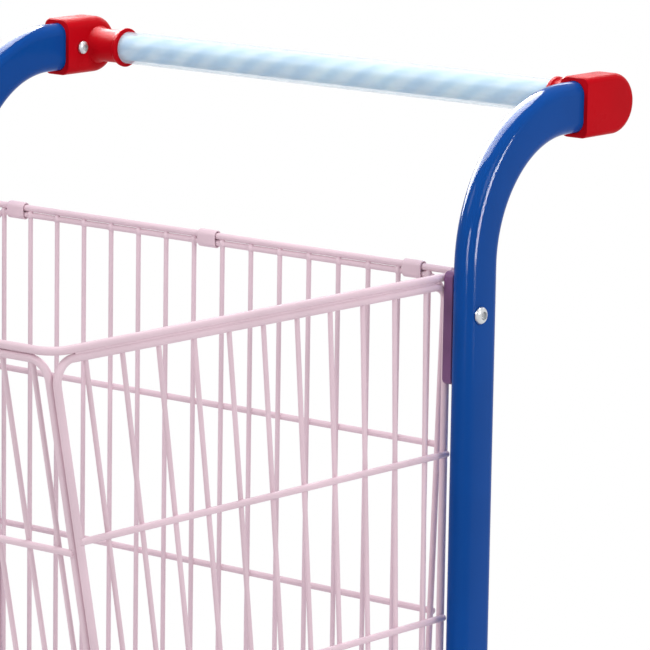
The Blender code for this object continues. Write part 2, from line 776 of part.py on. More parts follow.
def fork(name, pivot):
    """The swivelling fork: a round crown on two legs that lean back to the axle."""
    axle_z = WHEEL_DIAMETER / 2 - CASTOR_HEIGHT
    crown_top = -RACE_HEIGHT - 2 * SEAT
    leg_x = WHEEL_WIDTH / 2 + FORK_LEG_ROOM + FORK_SHEET / 2
    crown = [
        (CASTOR_BOLT / 2 + RUN, crown_top),
        (CROWN_DIAMETER / 2, crown_top),
        (leg_x + FORK_SHEET / 2, crown_top - FORK_SHEET),
        (CASTOR_BOLT / 2 + RUN, crown_top - FORK_SHEET),
    ]
    obj = turn(add(name, turned_profile(name, crown, True), ZINC, parent=pivot), SMALL_STEPS)
    eye = FORK_EYE_DIAMETER / 2
    top = crown_top - FORK_SHEET / 2
    outline = [
        Vector((FORK_LEG_WIDTH / 2, top, 0)),
        Vector((-FORK_LEG_WIDTH / 2, top, 0)),
        *arc((CASTOR_TRAIL, axle_z), eye, math.pi, 2 * math.pi, TUBE_END_STEPS),
    ]
    hole = arc((CASTOR_TRAIL, axle_z), AXLE_DIAMETER / 2 + SEAT, 0, 2 * math.pi, SMALL_STEPS)[:-1]
    for side in (1, -1):
        label = name + "_leg_" + side_name(side)
        leg = helper(label, slab(label, [outline, hole], FORK_SHEET), None, (side * leg_x, 0, 0), UPRIGHT)
        leg.parent = pivot
        unite(obj, leg)


def wheel(name, place, pivot):
    """A hub with a recessed web, and the tyre round it."""
    half = WHEEL_WIDTH / 2
    rim_radius = WHEEL_DIAMETER / 2 - TYRE_DEPTH
    boss = HUB_BOSS_DIAMETER / 2
    web = HUB_WEB / 2
    axle_bore = AXLE_DIAMETER / 2 + RUN
    hub = [
        (axle_bore, half),
        (boss, half),
        (boss, web),
        (rim_radius - HUB_WEB, web),
        (rim_radius, half),
        (rim_radius, -half),
        (rim_radius - HUB_WEB, -web),
        (boss, -web),
        (boss, -half),
        (axle_bore, -half),
    ]
    turn(add(name + "_hub", turned_profile(name + "_hub", hub, True), GREY, place, ALONG_X, pivot))
    inner = rim_radius + SEAT
    outer = WHEEL_DIAMETER / 2
    tyre = [
        (inner, half),
        (outer - TYRE_ROUNDING, half),
        (outer, half - TYRE_ROUNDING),
        (outer, TYRE_ROUNDING - half),
        (outer - TYRE_ROUNDING, -half),
        (inner, -half),
    ]
    turn(add(name + "_tyre", turned_profile(name + "_tyre", tyre, True), RUBBER, place, ALONG_X, pivot))


def axle(name, place, pivot):
    """The axle bolt across the fork, with a round head on each end."""
    grip = WHEEL_WIDTH / 2 + FORK_LEG_ROOM + FORK_SHEET + SEAT
    end = grip + AXLE_HEAD_HEIGHT
    radius = AXLE_DIAMETER / 2
    head = AXLE_HEAD_DIAMETER / 2
    profile = [
        (0, end),
        (head, end),
        (head, grip),
        (radius, grip),
        (radius, -grip),
        (head, -grip),
        (head, -end),
        (0, -end),
    ]
    turn(add(name, turned_profile(name, profile), ZINC, place, ALONG_X, pivot), SMALL_STEPS)


def castor(name, x, y, chassis_part):
    """A swivel castor bolted through the chassis: race, fork, axle, hub and tyre."""
    pivot = add_empty(name + "_pivot", (x, y, CASTOR_HEIGHT), DATUM)
    bolt_hole = CASTOR_BOLT + 2 * SEAT
    race = [
        (CASTOR_BOLT / 2 + SEAT, -SEAT),
        (RACE_DIAMETER / 2 - RACE_CHAMFER, -SEAT),
        (RACE_DIAMETER / 2, -SEAT - RACE_CHAMFER),
        (RACE_DIAMETER / 2, -RACE_HEIGHT - SEAT),
        (CASTOR_BOLT / 2 + SEAT, -RACE_HEIGHT - SEAT),
    ]
    turn(add(name + "_race", turned_profile(name + "_race", race, True), ZINC, parent=pivot), SMALL_STEPS)

    shank_end = NUT_TOP - HEX_HEIGHT - SEAT
    shank_length = TUBE_THICKNESS + 2 * SEAT - shank_end
    bolt_name = name + "_bolt"
    bolt = add(bolt_name, prism(bolt_name, CASTOR_BOLT, shank_length, SMALL_STEPS), ZINC, parent=pivot)
    bolt.location = (0, 0, shank_end)
    head_name = bolt_name + "_head"
    head = helper(head_name, prism(head_name, HEX_ACROSS_CORNERS, HEX_HEIGHT, HEX_SIDES))
    head.parent = pivot
    head.location = (0, 0, TUBE_THICKNESS + SEAT)
    unite(bolt, head)

    nut_name = name + "_nut"
    nut = add(nut_name, prism(nut_name, HEX_ACROSS_CORNERS, HEX_HEIGHT, HEX_SIDES), ZINC, parent=pivot)
    nut.location = (0, 0, NUT_TOP - HEX_HEIGHT)
    hole_name = nut_name + "_hole"
    thread = helper(hole_name, prism(hole_name, bolt_hole, HEX_HEIGHT + 2 * CUT_PAST, SMALL_STEPS))
    thread.parent = pivot
    thread.location = (0, 0, NUT_TOP - HEX_HEIGHT - CUT_PAST)
    cut(nut, thread)

    fork(name + "_fork", pivot)
    axle_place = (0, CASTOR_TRAIL, WHEEL_DIAMETER / 2 - CASTOR_HEIGHT)
    axle(name + "_axle", axle_place, pivot)
    wheel(name, axle_place, pivot)

    through = TUBE_THICKNESS + 2 * CUT_PAST
    start = (x, y, CASTOR_HEIGHT - CUT_PAST)
    cut(chassis_part, bore(name + "_hole", bolt_hole, through, start, (0, 0, 0)))


def build():
    section = flat_oval("tube_section", TUBE_WIDTH, TUBE_THICKNESS)
    pocket_section = flat_oval("pocket_section", TUBE_WIDTH + 2 * SEAT, TUBE_THICKNESS + 2 * SEAT)
    for side in (1, -1):
        post_part = post(side, section)
        bracket_part = bracket(side, pocket_section)
        bracket_screw(side, bracket_part, post_part)
        basket_plate(side, post_part)
        side_panel(side)
    handle_bar()
    rim()
    hinge_rod()
    front_panel()
    floor_panel()
    rear_gate()
    hinge_clips()
    cradle()
    base = chassis(section)
    front_y = FRONT_CASTOR_SETBACK - CHASSIS_FRONT
    for end, y in (("front", front_y), ("rear", REAR_CASTOR_BEHIND)):
        for side in (1, -1):
            castor(end + "_" + side_name(side) + "_castor", side * chassis_half_width(y), y, base)


clear_scene()
PARTS = new_collection("basket_trolley")
CUTTERS = new_collection("cutters")
DATUM = add_empty("hinge_plane", (0, HINGE_Y, 0))
BLUE = paint("blue_paint", (0.010, 0.070, 0.290), 0.22)
RED = paint("red_plastic", (0.520, 0.012, 0.018), 0.35)
PINK = paint("pink_coating", (0.740, 0.480, 0.580), 0.40)
PLUM = paint("plum_plate", (0.130, 0.050, 0.110), 0.45)
CLEAR = paint("clear_sleeve", (0.500, 0.660, 0.820), 0.20)
ZINC = paint("zinc_steel", (0.560, 0.570, 0.580), 0.35, 1.0)
BLACK = paint("black_plastic", (0.020, 0.020, 0.022), 0.50)
GREY = paint("grey_plastic", (0.300, 0.310, 0.320), 0.45)
RUBBER = paint("grey_rubber", (0.110, 0.115, 0.120), 0.70)
build()
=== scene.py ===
"""Looks of the nesting basket trolley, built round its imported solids.

Metres, in the solids' own frame: +Z up, the front faces -Y, and left is +X.
"""

import json
import math

import bmesh
import bpy
from mathutils import Euler, Matrix, Vector


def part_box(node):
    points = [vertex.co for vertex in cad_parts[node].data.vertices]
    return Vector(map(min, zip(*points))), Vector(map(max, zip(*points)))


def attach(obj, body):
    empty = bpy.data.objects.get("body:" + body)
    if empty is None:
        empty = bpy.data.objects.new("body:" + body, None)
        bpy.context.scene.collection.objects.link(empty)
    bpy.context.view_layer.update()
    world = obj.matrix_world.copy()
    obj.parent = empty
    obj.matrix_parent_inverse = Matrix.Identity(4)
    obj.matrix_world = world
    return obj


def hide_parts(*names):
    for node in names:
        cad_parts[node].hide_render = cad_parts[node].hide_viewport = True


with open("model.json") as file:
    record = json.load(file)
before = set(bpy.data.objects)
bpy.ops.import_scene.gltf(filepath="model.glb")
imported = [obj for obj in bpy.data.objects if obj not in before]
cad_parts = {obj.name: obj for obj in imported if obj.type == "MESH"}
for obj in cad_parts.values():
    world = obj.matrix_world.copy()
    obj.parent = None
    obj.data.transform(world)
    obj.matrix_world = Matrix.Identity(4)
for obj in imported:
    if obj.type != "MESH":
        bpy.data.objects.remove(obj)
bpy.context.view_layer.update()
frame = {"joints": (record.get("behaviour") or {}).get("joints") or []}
SCENE = bpy.context.scene
JOINTS = {joint["name"]: Vector(joint["pos_m"]) for joint in frame["joints"]}

# Camera, fitted to the photo's straight rods and tube edges
CAMERA_PLACE = Vector((1.72364, -1.94829, 1.27391))
CAMERA_RIGHT = Vector((0.780983, 0.624357, 0.015588))
CAMERA_UP = Vector((-0.125638, 0.132609, 0.983173))
CAMERA_LENS = 242.52
CAMERA_SENSOR = 36.0
CAMERA_REACH = 60.0

# Lamps, and panels that give no diffuse light and that only the pieces in their collection mirror
LAMPS = (
    ("key_light", (-0.9, -2.4, 2.6), 26.0, (1.0, 1.0)),
    ("side_light", (2.6, -0.4, 2.1), 24.0, (1.0, 1.0)),
    ("top_light", (0.0, 0.4, 2.9), 20.0, (1.2, 0.8)),
    ("rear_strip", (-0.7, 2.6, 2.1), 14.0, (1.6, 0.45)),
)
PANELS = (
    ("post_gleam", (-1.6, 0.5, 2.9), 2300.0, (3.2, 5.2)),
    ("post_gleam", (1.6, -2.1, 1.0), 95.0, (0.6, 1.0)),
    ("post_gleam", (2.3, 0.9, 1.0), 190.0, (0.8, 1.0)),
    ("bracket_gleam", (-1.6, 0.5, 2.9), 1500.0, (3.2, 5.2)),
    ("handle_gleam", (-1.4, 0.2, 2.9), 180.0, (5.8, 1.8)),
)
MIRRORING = {name: bpy.data.collections.new(name) for name in sorted({panel[0] for panel in PANELS})}
LAMP_TARGET = Vector((0, 0, 0.7))
WORLD_COLOUR = (0.97, 0.98, 1.0, 1)
WORLD_STRENGTH = 0.55
WHITE = (1, 1, 1, 1)
FLOOR_COLOUR = (0.86, 0.86, 0.86, 1)
FLOOR_RADIUS = 14.0
FLOOR_DROP = 0.0008
FLOOR_FADE_START = 0.55
FLOOR_FADE_END = 1.60

# Sizes shared with the solids
TUBE_WIDTH = 0.0315
TUBE_THICKNESS = 0.0155
POST_BEND_RADIUS = 0.086
CHASSIS_STRAIGHT = 0.035
CHASSIS_FRONT = 0.315
CHASSIS_CLOSING = 0.0655
CHASSIS_BEND_RADIUS = 0.070
CRADLE_INSET = 0.0325
CRADLE_CLOSING = 0.015
CRADLE_REACH = 0.250
CRADLE_BEND_RADIUS = 0.022
CRADLE_TUBE = 0.016
PLATE_CORNER_RADIUS = 0.004
FRAME_ROD = 0.0048
ROW_ROD = 0.0040
WIRE = 0.0030
HINGE_ROD = 0.0042
GATE_ROD = 0.0038
WIRE_INSET = 0.0007
WELD = 0.0008
ROW_OVERHANG = 0.0012
WALL_TAPER = math.radians(1.6)
FRONT_LEAN = math.radians(11.4)
RIM_LENGTH = 0.346
BASKET_DEPTH = 0.307
FLOOR_RISE = 0.028
HINGE_RISE = 0.002
FRAME_BEND_RADIUS = 0.012
RIM_BEND_RADIUS = 0.012
GATE_BEND_RADIUS = 0.014
PANEL_SETBACK = 0.009
ROW_DROPS = (0.107, 0.2075)
GATE_ROW_DROPS = (0.107, 0.210)
FRONT_ROW_OFFSET = 0.007
SIDE_WIRES = 11
SIDE_WIRE_REAR = 0.028
SIDE_WIRE_FRONT = 0.025
FRONT_WIRES = 16
FLOOR_WIRES = 12
FLOOR_ROWS = 2
GATE_WIRES = 16
GATE_SIDE_ROOM = 0.0045
GATE_STOP_ANGLE = math.radians(30)
CLIP_WALL = 0.0010
SEAT = 0.0003
RUN = 0.0004
BRACKET_MOUTH = 0.0305
BRACKET_INNER_ROUNDING = 0.0065
BRACKET_TAIL = 0.0014
TUBE_STOP = 0.0115
NECK_DIAMETER = 0.0215
COLLAR_DIAMETER = 0.0257
CORE_DIAMETER = 0.016
SLEEVE_WALL = 0.0022
SCREW_DIAMETER = 0.006
SCREW_HEAD_HEIGHT = 0.0033
WHEEL_WIDTH = 0.026
WHEEL_DIAMETER = 0.100
TYRE_DEPTH = 0.012
HUB_WEB = 0.009
HUB_BOSS_DIAMETER = 0.021
AXLE_DIAMETER = 0.008
AXLE_HEAD_DIAMETER = 0.014
AXLE_HEAD_HEIGHT = 0.004
CASTOR_BOLT = 0.010
CASTOR_HEIGHT = 0.128
CASTOR_TRAIL = 0.032
RACE_DIAMETER = 0.044
RACE_HEIGHT = 0.008
CROWN_DIAMETER = 0.046
FORK_SHEET = 0.003
FORK_LEG_WIDTH = 0.026
FORK_LEG_ROOM = 0.003
FORK_EYE_DIAMETER = 0.024
HEX_ACROSS_CORNERS = 0.0185
HEX_HEIGHT = 0.0065
CUT_PAST = 0.002

# Welds: beads round tubes and where they lie, the radii of spot welds, and the fill under the rim
POST_BEAD = 0.0021
POST_BEAD_SPREAD = 0.002
POST_BEAD_RISE = 0.0004
CRADLE_BEAD = 0.0018
CRADLE_BEAD_SPREAD = 0.0008
CRADLE_BEAD_SETBACK = 0.0006
CROSSING_WELD = (0.0022, 0.0022, 0.0013)
WIRE_END_WELD = (0.0024, 0.0030, 0.0021)
FRONT_RIM_WELD = (0.0070, 0.0012, 0.0015)
FRONT_RIM_WELD_SHARES = (0.14, 0.46, 0.78)
FRONT_RIM_WELD_BACK = 0.42 * FRAME_ROD
RIM_FILL_WIDTH = 0.0032
RIM_FILL_HEIGHT = 0.0026
RIM_FILL_FRONT = 1.3 * FRAME_BEND_RADIUS

# Details of the shown pieces
PLUG_ROUNDING = 0.0016
PLATE_ROUNDING = 0.0005
CLIP_ROUNDING = 0.0005
WIRE_CUT = 0.0004
ROD_CUT = 0.0006
FILL_CUT = 0.0008
CUT_END_SHARE = 0.75
BRACKET_OUTER_ROUNDING = 0.004
BRACKET_MOUTH_CHAMFER = 0.0007
BELL_RADIUS = 0.0050
BELL_SETBACK = 0.0062
BELL_END = 0.72 * math.pi
CORE_CHAMFER = 0.0006
SLEEVE_CHAMFER = 0.0005
FILM_INNER_GAP = 0.00005
FILM_OUTER_GAP = 0.0002
SCREW_RIM = 0.0003
SCREW_UNDERCUT = 0.0002
DOME_FULLNESS = 0.75
DOME_POWER = 0.6
SOCKET_SHARE = 0.54
SOCKET_FLOOR = 0.0010
SOCKET_POINT = 0.0003
SOCKET_CUT_PAST = 0.001
HEX_ROUND_SHARE = 0.94
HEX_CHAMFER = math.radians(28)
BOLT_CHAMFER = 0.001
BOLT_OVERLAP = 0.001
RACE_EDGE = 0.0008
RACE_SLIT = 0.0005
RACE_SLIT_DEPTH = 0.0030
RACE_SLIT_FLOOR = 0.0004
FORK_ROUNDING = 0.0006
FORK_EYE_START = 1.05 * math.pi
FORK_BORE_REACH = 0.03
HUB_BORE_EDGE = 0.0004
RIB_COUNT = 6
RIB_HALF_WIDTH = 0.0013
RIB_RISE = 0.003
RIB_ROUNDING = 0.0006
RIB_INNER_OVERLAP = 0.001
RIB_OUTER_OVERLAP = 0.0022
TYRE_EDGE = 0.0004
TYRE_SHOULDER = 0.0045

# Curves of turned forms, as steps from a radius and a face; the neck root's radii are whole ones
NECK_ROOT = ((0.0137, -0.0028), (0.0131, -0.0012), (0.0123, 0.0005), (0.0116, 0.0020), (0.0111, 0.0035))
NECK_ROOT_END = (0.0001, 0.0050)
LIP_CURVE = ((0, 0.0012), (0, 0.0005), (0.0004, 0.0001), (0.0009, 0))
RACE_SHOULDER = ((0.0030, 0), (0.0015, 0.0005), (0.0005, 0.0016), (0, 0.0026))
CROWN_EDGE = ((0.0010, 0), (0.0003, 0.0003), (0, 0.0009))
RIVET_CURVE = ((0.0040, 0.0010), (0.0036, 0), (0.0018, 0), (0.0006, 0.0008), (0, 0.0022))
BOSS_EDGE = ((-0.0012, 0), (-0.0003, 0.0004), (0, 0.0014))
BOSS_ROOT = ((0.0006, 0.0010), (0.0016, 0))
HUB_RIM_ROOT = ((-0.0010, 0), (0.0006, 0.0008))
HUB_RIM_EDGE = ((0.0014, 0.0010), (0.0006, 0.0002), (0, 0.0006))
TYRE_GROOVE = ((0, 0.0042), (0.0009, 0.0038), (0.0009, 0.0028), (0, 0.0024))

# Fineness of the meshes
BEAD_SIDES = 10
SPOT_WELD_SEGMENTS = (10, 7)
WIRE_SIDES = 14
ROD_SIDES = 18
TUBE_SIDES = 32
RING_STEPS = 40
OVAL_STEPS = 14
TURN_STEPS = 64
TYRE_STEPS = 96
FLOOR_STEPS = 96
SCREW_STEPS = 36
HEX_STEPS = 48
DOME_STEPS = 12
CURVE_STEPS = 8
CLIP_STEPS = 14
EYE_STEPS = 24
NOSE_STEPS = 44
BRACKET_RIM_STEPS = 10
RIM_STEPS = 5
FINE_RIM_STEPS = 3
BEND_STEP = math.radians(7.5)
FINE_BEND_STEP = math.radians(3)
CLIP_BEND_STEP = math.radians(30)
SHARP = math.radians(32)
MITRE_LIMIT = 0.3
TINY = 0.000001

# Materials: how the noise spreads shades and gloss, and the film wound under the clear sleeve
SHADE_STOPS = (0.35, 0.50, 0.65)
SHADE_DETAIL = 4.0
GLOSS_LOW = 0.3
GLOSS_HIGH = 0.7
GLOSS_DETAIL = 3.0
GRAIN_DETAIL = 2.0
SLEEVE_ALPHA = 0.36
FILM_ROUGHNESS = 0.40
FILM_TURN = 280.0
FILM_STARTS = 3.0
FILM_PATCH = 60.0
FILM_DETAIL = 3.0
FILM_SHADES = ((0.08, (0.46, 0.70, 0.90)), (0.26, (0.70, 0.86, 0.97)), (0.50, (0.92, 0.97, 0.99)))

# Places taken from the solids
HINGE = JOINTS["gate_swing"]
RIM_Z = HINGE.z - HINGE_RISE
POST_LOW, POST_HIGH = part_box("left_post")
POST_Y = POST_LOW.y + TUBE_WIDTH / 2
POST_X = (POST_LOW.x + POST_HIGH.x) / 2
HANDLE_Z = POST_HIGH.z - TUBE_WIDTH / 2
SLEEVE_LOW, SLEEVE_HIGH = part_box("handle_sleeve")
HANDLE_Y = (SLEEVE_LOW.y + SLEEVE_HIGH.y) / 2
CORE_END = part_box("handle_core")[1].x
CHASSIS_LOW, CHASSIS_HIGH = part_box("chassis")
CHASSIS_Z = (CHASSIS_LOW.z + CHASSIS_HIGH.z) / 2
WALL_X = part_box("left_basket_plate")[0].x - SEAT - FRAME_ROD / 2
STACK = FRAME_ROD + SEAT
NOSE_X = WALL_X - RIM_LENGTH * math.tan(WALL_TAPER)
FRONT_DEPTH = BASKET_DEPTH - FLOOR_RISE
FLOOR_FRONT = RIM_LENGTH - FRONT_DEPTH * math.tan(FRONT_LEAN)
FLOOR_SLOPE = math.atan(FLOOR_RISE / FLOOR_FRONT)
HINGE_STACK = (HINGE_ROD + GATE_ROD) / 2 + SEAT
GATE_STOP = (GATE_ROD + FRAME_ROD) / 2 + SEAT
GATE_DEPTH = HINGE_RISE + BASKET_DEPTH - GATE_STOP * math.sin(GATE_STOP_ANGLE)
GATE_HALF = WALL_X - (FRAME_ROD + GATE_ROD) / 2 - GATE_SIDE_ROOM
GATE_PITCH = 2 * GATE_HALF / GATE_WIRES
AXLE_Z = WHEEL_DIAMETER / 2 - CASTOR_HEIGHT
FORK_LEG_X = WHEEL_WIDTH / 2 + FORK_LEG_ROOM + FORK_SHEET / 2
SIDES = (("left", 1), ("right", -1))

# A drawing in local x and y stands upright, x rearward and y up, with its normal along +X
UPRIGHT = (math.pi / 2, 0, math.pi / 2)


def at(location, rotation=(0, 0, 0)):
    return Matrix.Translation(location) @ Euler(rotation).to_matrix().to_4x4()


def along_x(place=(0, 0, 0), side=1):
    """Lays local z along +X, or along -X for the other side."""
    return at(place, (0, side * math.pi / 2, 0))


def quarter(steps):
    """The angles of a quarter turn."""
    return [math.pi / 2 * step / steps for step in range(steps + 1)]


def arc(centre, radius, start, end, steps):
    turns = [start + (end - start) * step / steps for step in range(steps + 1)]
    return [(centre[0] + radius * math.cos(a), centre[1] + radius * math.sin(a)) for a in turns]


def circle(radius, sides):
    return arc((0, 0), radius, 0, 2 * math.pi, sides)[:-1]


def flat_oval(width, thickness):
    """The section of a flat-sided oval tube, wide along its first coordinate."""
    radius = thickness / 2
    offset = width / 2 - radius
    right = arc((offset, 0), radius, -math.pi / 2, math.pi / 2, OVAL_STEPS)
    left = arc((-offset, 0), radius, math.pi / 2, 3 * math.pi / 2, OVAL_STEPS)
    return right + left


def rounded_path(corners, radius, closed=False, step_angle=BEND_STEP):
    """The corners joined by straight runs, with every bend an arc of this radius."""
    corners = [Vector(corner) for corner in corners]
    points = []
    for index, corner in enumerate(corners):
        if not closed and index in (0, len(corners) - 1):
            points.append(corner)
            continue
        before = (corners[index - 1] - corner).normalized()
        after = (corners[(index + 1) % len(corners)] - corner).normalized()
        half = before.angle(after) / 2
        centre = corner + (before + after).normalized() * radius / math.sin(half)
        start = (corner + before * radius / math.tan(half) - centre).normalized()
        end = (corner + after * radius / math.tan(half) - centre).normalized()
        steps = max(1, math.ceil(start.angle(end) / step_angle))
        points += [centre + start.slerp(end, step / steps) * radius for step in range(steps + 1)]
    return points


def rounded_rectangle(low, high, radius, step_angle=BEND_STEP):
    corners = [(low[0], low[1], 0), (high[0], low[1], 0), (high[0], high[1], 0), (low[0], high[1], 0)]
    path = rounded_path(corners, radius, closed=True, step_angle=step_angle)
    return [(point.x, point.y) for point in path]


def both_sides(left):
    """A path on the left, continued by its mirror image on the right."""
    return left + [(-x, y, z) for x, y, z in reversed(left)]


def both_faces(points):
    """Points of (distance, height), continued by their mirror image below."""
    return points + [(distance, -height) for distance, height in reversed(points)]


def join_rings(shape, first, second):
    """Quads, or triangles to a single point, between two rings."""
    count = max(len(first), len(second))
    for k in range(count):
        corners = []
        for ring, step in ((first, k), (first, k + 1), (second, k + 1), (second, k)):
            vert = ring[step % len(ring)]
            if vert not in corners:
                corners.append(vert)
        if len(corners) > 2:
            shape.faces.new(corners)


def skin(shape, rings, closed=False, capped=True):
    """Faces from ring to ring, and then back to the first ring or over both ends."""
    for first, second in zip(rings, rings[1:]):
        join_rings(shape, first, second)
    if closed:
        join_rings(shape, rings[-1], rings[0])
    elif capped:
        shape.faces.new(rings[0])
        shape.faces.new(rings[-1])


def sweep(shape, path, section, closed=False, plane=None, cut=0.0, matrix=Matrix()):
    """The section swept along the path. A flat path names its plane's normal; cut softens the end edges."""
    points = [Vector(point) for point in path]
    count = len(points)
    rings = []
    across = None

    def add_ring(centre, scale=1):
        sideways = across.cross(tangent)
        places = [centre + (sideways * u + across * v) * scale for u, v in section]
        rings.append([shape.verts.new(matrix @ place) for place in places])

    for index, point in enumerate(points):
        tangent = Vector()
        if closed or index > 0:
            tangent += (point - points[index - 1]).normalized()
        if closed or index < count - 1:
            tangent += (points[(index + 1) % count] - point).normalized()
        tangent.normalize()
        if plane is not None:
            across = Vector(plane)
        elif across is None:
            across = tangent.orthogonal().normalized()
        else:
            across = (across - tangent * across.dot(tangent)).normalized()
        if closed or not cut or 0 < index < count - 1:
            add_ring(point)
        elif index == 0:
            add_ring(point, CUT_END_SHARE)
            add_ring(point + tangent * cut)
        else:
            add_ring(point - tangent * cut)
            add_ring(point, CUT_END_SHARE)
    skin(shape, rings, closed)


def swept(name, path, section, **options):
    """A mesh of one sweep."""
    shape = bmesh.new()
    sweep(shape, path, section, **options)
    return mesh_from(name, shape)


def lathe(name, profile, steps=TURN_STEPS, matrix=Matrix(), closed=False):
    """A turned mesh through (radius, height) points about local z."""
    shape = bmesh.new()
    rings = []
    for radius, height in profile:
        if radius < TINY:
            rings.append([shape.verts.new(matrix @ Vector((0, 0, height)))])
            continue
        rings.append([shape.verts.new(matrix @ Vector((x, y, height))) for x, y in circle(radius, steps)])
    skin(shape, rings, closed, capped=False)
    return mesh_from(name, shape)


def inset(outline, amount):
    """A closed convex outline moved inwards by this amount."""
    points = [Vector(point) for point in outline]
    moved = []
    for index, point in enumerate(points):
        before = (point - points[index - 1]).normalized()
        after = (points[(index + 1) % len(points)] - point).normalized()
        turn = (before + after).normalized()
        inwards = Vector((-turn.y, turn.x))
        moved.append(point + inwards * amount / max(MITRE_LIMIT, turn.dot(after)))
    return moved


def pillow(shape, outline, thickness, rounding, matrix):
    """A slab about its own plane whose two rims are rounded."""
    half = thickness / 2
    levels = []
    for turn in quarter(FINE_RIM_STEPS):
        levels.append((rounding * (1 - math.sin(turn)), half - rounding * (1 - math.cos(turn))))
    rings = []
    for amount, height in both_faces(levels):
        places = [Vector((p.x, p.y, height)) for p in inset(outline, amount)]
        rings.append([shape.verts.new(matrix @ place) for place in places])
    skin(shape, rings)


def spot_weld(shape, matrix, radii):
    """A small flattened bead."""
    place = matrix @ Matrix.Diagonal((*radii, 1))
    around, upward = SPOT_WELD_SEGMENTS
    bmesh.ops.create_uvsphere(shape, u_segments=around, v_segments=upward, radius=1, matrix=place)


def mesh_from(name, shape):
    bmesh.ops.recalc_face_normals(shape, faces=shape.faces)
    mesh = bpy.data.meshes.new(name)
    shape.to_mesh(mesh)
    shape.free()
    return mesh


def combined(name, base, tools):
    """The base mesh joined with, or cut by, the other meshes."""
    holder = bpy.data.objects.new(name, base)
    SCENE.collection.objects.link(holder)
    helpers = [holder]
    for operation, mesh in tools:
        tool = bpy.data.objects.new(name + "_tool", mesh)
        SCENE.collection.objects.link(tool)
        helpers.append(tool)
        modifier = holder.modifiers.new(tool.name, "BOOLEAN")
        modifier.operation = operation
        modifier.object = tool
        modifier.solver = "EXACT"
    graph = bpy.context.evaluated_depsgraph_get()
    result = bpy.data.meshes.new_from_object(holder.evaluated_get(graph))
    for helper in helpers:
        bpy.data.objects.remove(helper)
    return result


def piece(name, mesh, slot, node=None, body="trolley", place=(0, 0, 0), gleam=None, look=None):
    """One shown piece that moves with its body, and stands for this node where it has one."""
    mesh.materials.clear()
    mesh.materials.append(LOOK[look or slot])
    mesh.shade_smooth()
    mesh.set_sharp_from_angle(angle=SHARP)
    obj = bpy.data.objects.new("visual_" + name, mesh)
    SCENE.collection.objects.link(obj)
    obj.location = place
    if gleam:
        MIRRORING[gleam].objects.link(obj)
    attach(obj, body)
    if node:
        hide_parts(node)


def feed(tree, socket, value):
    """Links another socket to this one, or sets its value."""
    if isinstance(value, bpy.types.NodeSocket):
        tree.links.new(value, socket)
    else:
        socket.default_value = value


def add_node(tree, kind, **inputs):
    node = tree.nodes.new(kind)
    for name, value in inputs.items():
        feed(tree, node.inputs[name.replace("_", " ")], value)
    return node


def maths(tree, operation, *values):
    node = tree.nodes.new("ShaderNodeMath")
    node.operation = operation
    for socket, value in zip(node.inputs, values):
        feed(tree, socket, value)
    return node.outputs[0]


class Finish:
    """A Principled material, with helpers that add nodes to it."""

    def __init__(self, name, roughness, specular, metallic=0.0):
        self.material = bpy.data.materials.new(name)
        self.material.use_nodes = True
        self.tree = self.material.node_tree
        self.inputs = self.tree.nodes["Principled BSDF"].inputs
        self.inputs["Roughness"].default_value = roughness
        self.inputs["Specular IOR Level"].default_value = specular
        self.inputs["Metallic"].default_value = metallic
        self.place = self.tree.nodes.new("ShaderNodeTexCoord").outputs["Object"]

    def noise(self, scale, detail):
        node = add_node(self.tree, "ShaderNodeTexNoise", Vector=self.place, Scale=scale, Detail=detail)
        return node.outputs["Fac"]

    def colour(self, factor, stops):
        """Colours the surface by a ramp through (position, colour) stops."""
        node = add_node(self.tree, "ShaderNodeValToRGB", Fac=factor)
        marks = node.color_ramp.elements
        while len(marks) < len(stops):
            marks.new(0.5)
        for mark, (position, colour) in zip(marks, stops):
            mark.position = position
            mark.color = (*colour, 1.0)
        feed(self.tree, self.inputs["Base Color"], node.outputs["Color"])


def coating(name, roughness, colour, spread, patch, gloss, grain, specular, metallic=0.0):
    """Soft patches of darker and lighter shades, a roughness between two values, and a fine relief."""
    made = Finish(name, roughness, specular, metallic)
    darker = tuple(channel * (1 - spread) for channel in colour)
    lighter = tuple(min(1.0, channel * (1 + spread)) for channel in colour)
    made.colour(made.noise(patch, SHADE_DETAIL), list(zip(SHADE_STOPS, (darker, colour, lighter))))
    smoothest, roughest, scale = gloss
    rough = add_node(made.tree, "ShaderNodeMapRange", Value=made.noise(scale, GLOSS_DETAIL),
                     From_Min=GLOSS_LOW, From_Max=GLOSS_HIGH, To_Min=smoothest, To_Max=roughest)
    feed(made.tree, made.inputs["Roughness"], rough.outputs["Result"])
    scale, strength, depth = grain
    relief = add_node(made.tree, "ShaderNodeBump", Height=made.noise(scale, GRAIN_DETAIL),
                      Strength=strength, Distance=depth)
    feed(made.tree, made.inputs["Normal"], relief.outputs["Normal"])
    return made


def handle_film():
    """Pale film wound round the handle's core in slanting bands."""
    film = Finish("handle_film", FILM_ROUGHNESS, 0.0)
    tree = film.tree
    parts = add_node(tree, "ShaderNodeSeparateXYZ", Vector=film.place).outputs
    starts = maths(tree, "MULTIPLY", maths(tree, "ARCTAN2", parts["Z"], parts["Y"]), FILM_STARTS)
    wave = maths(tree, "SINE", maths(tree, "MULTIPLY_ADD", parts["X"], FILM_TURN, starts))
    share = add_node(tree, "ShaderNodeMapRange", Value=wave, From_Min=-1.0, From_Max=1.0).outputs["Result"]
    film.colour(maths(tree, "MULTIPLY", share, film.noise(FILM_PATCH, FILM_DETAIL)), FILM_SHADES)
    return film


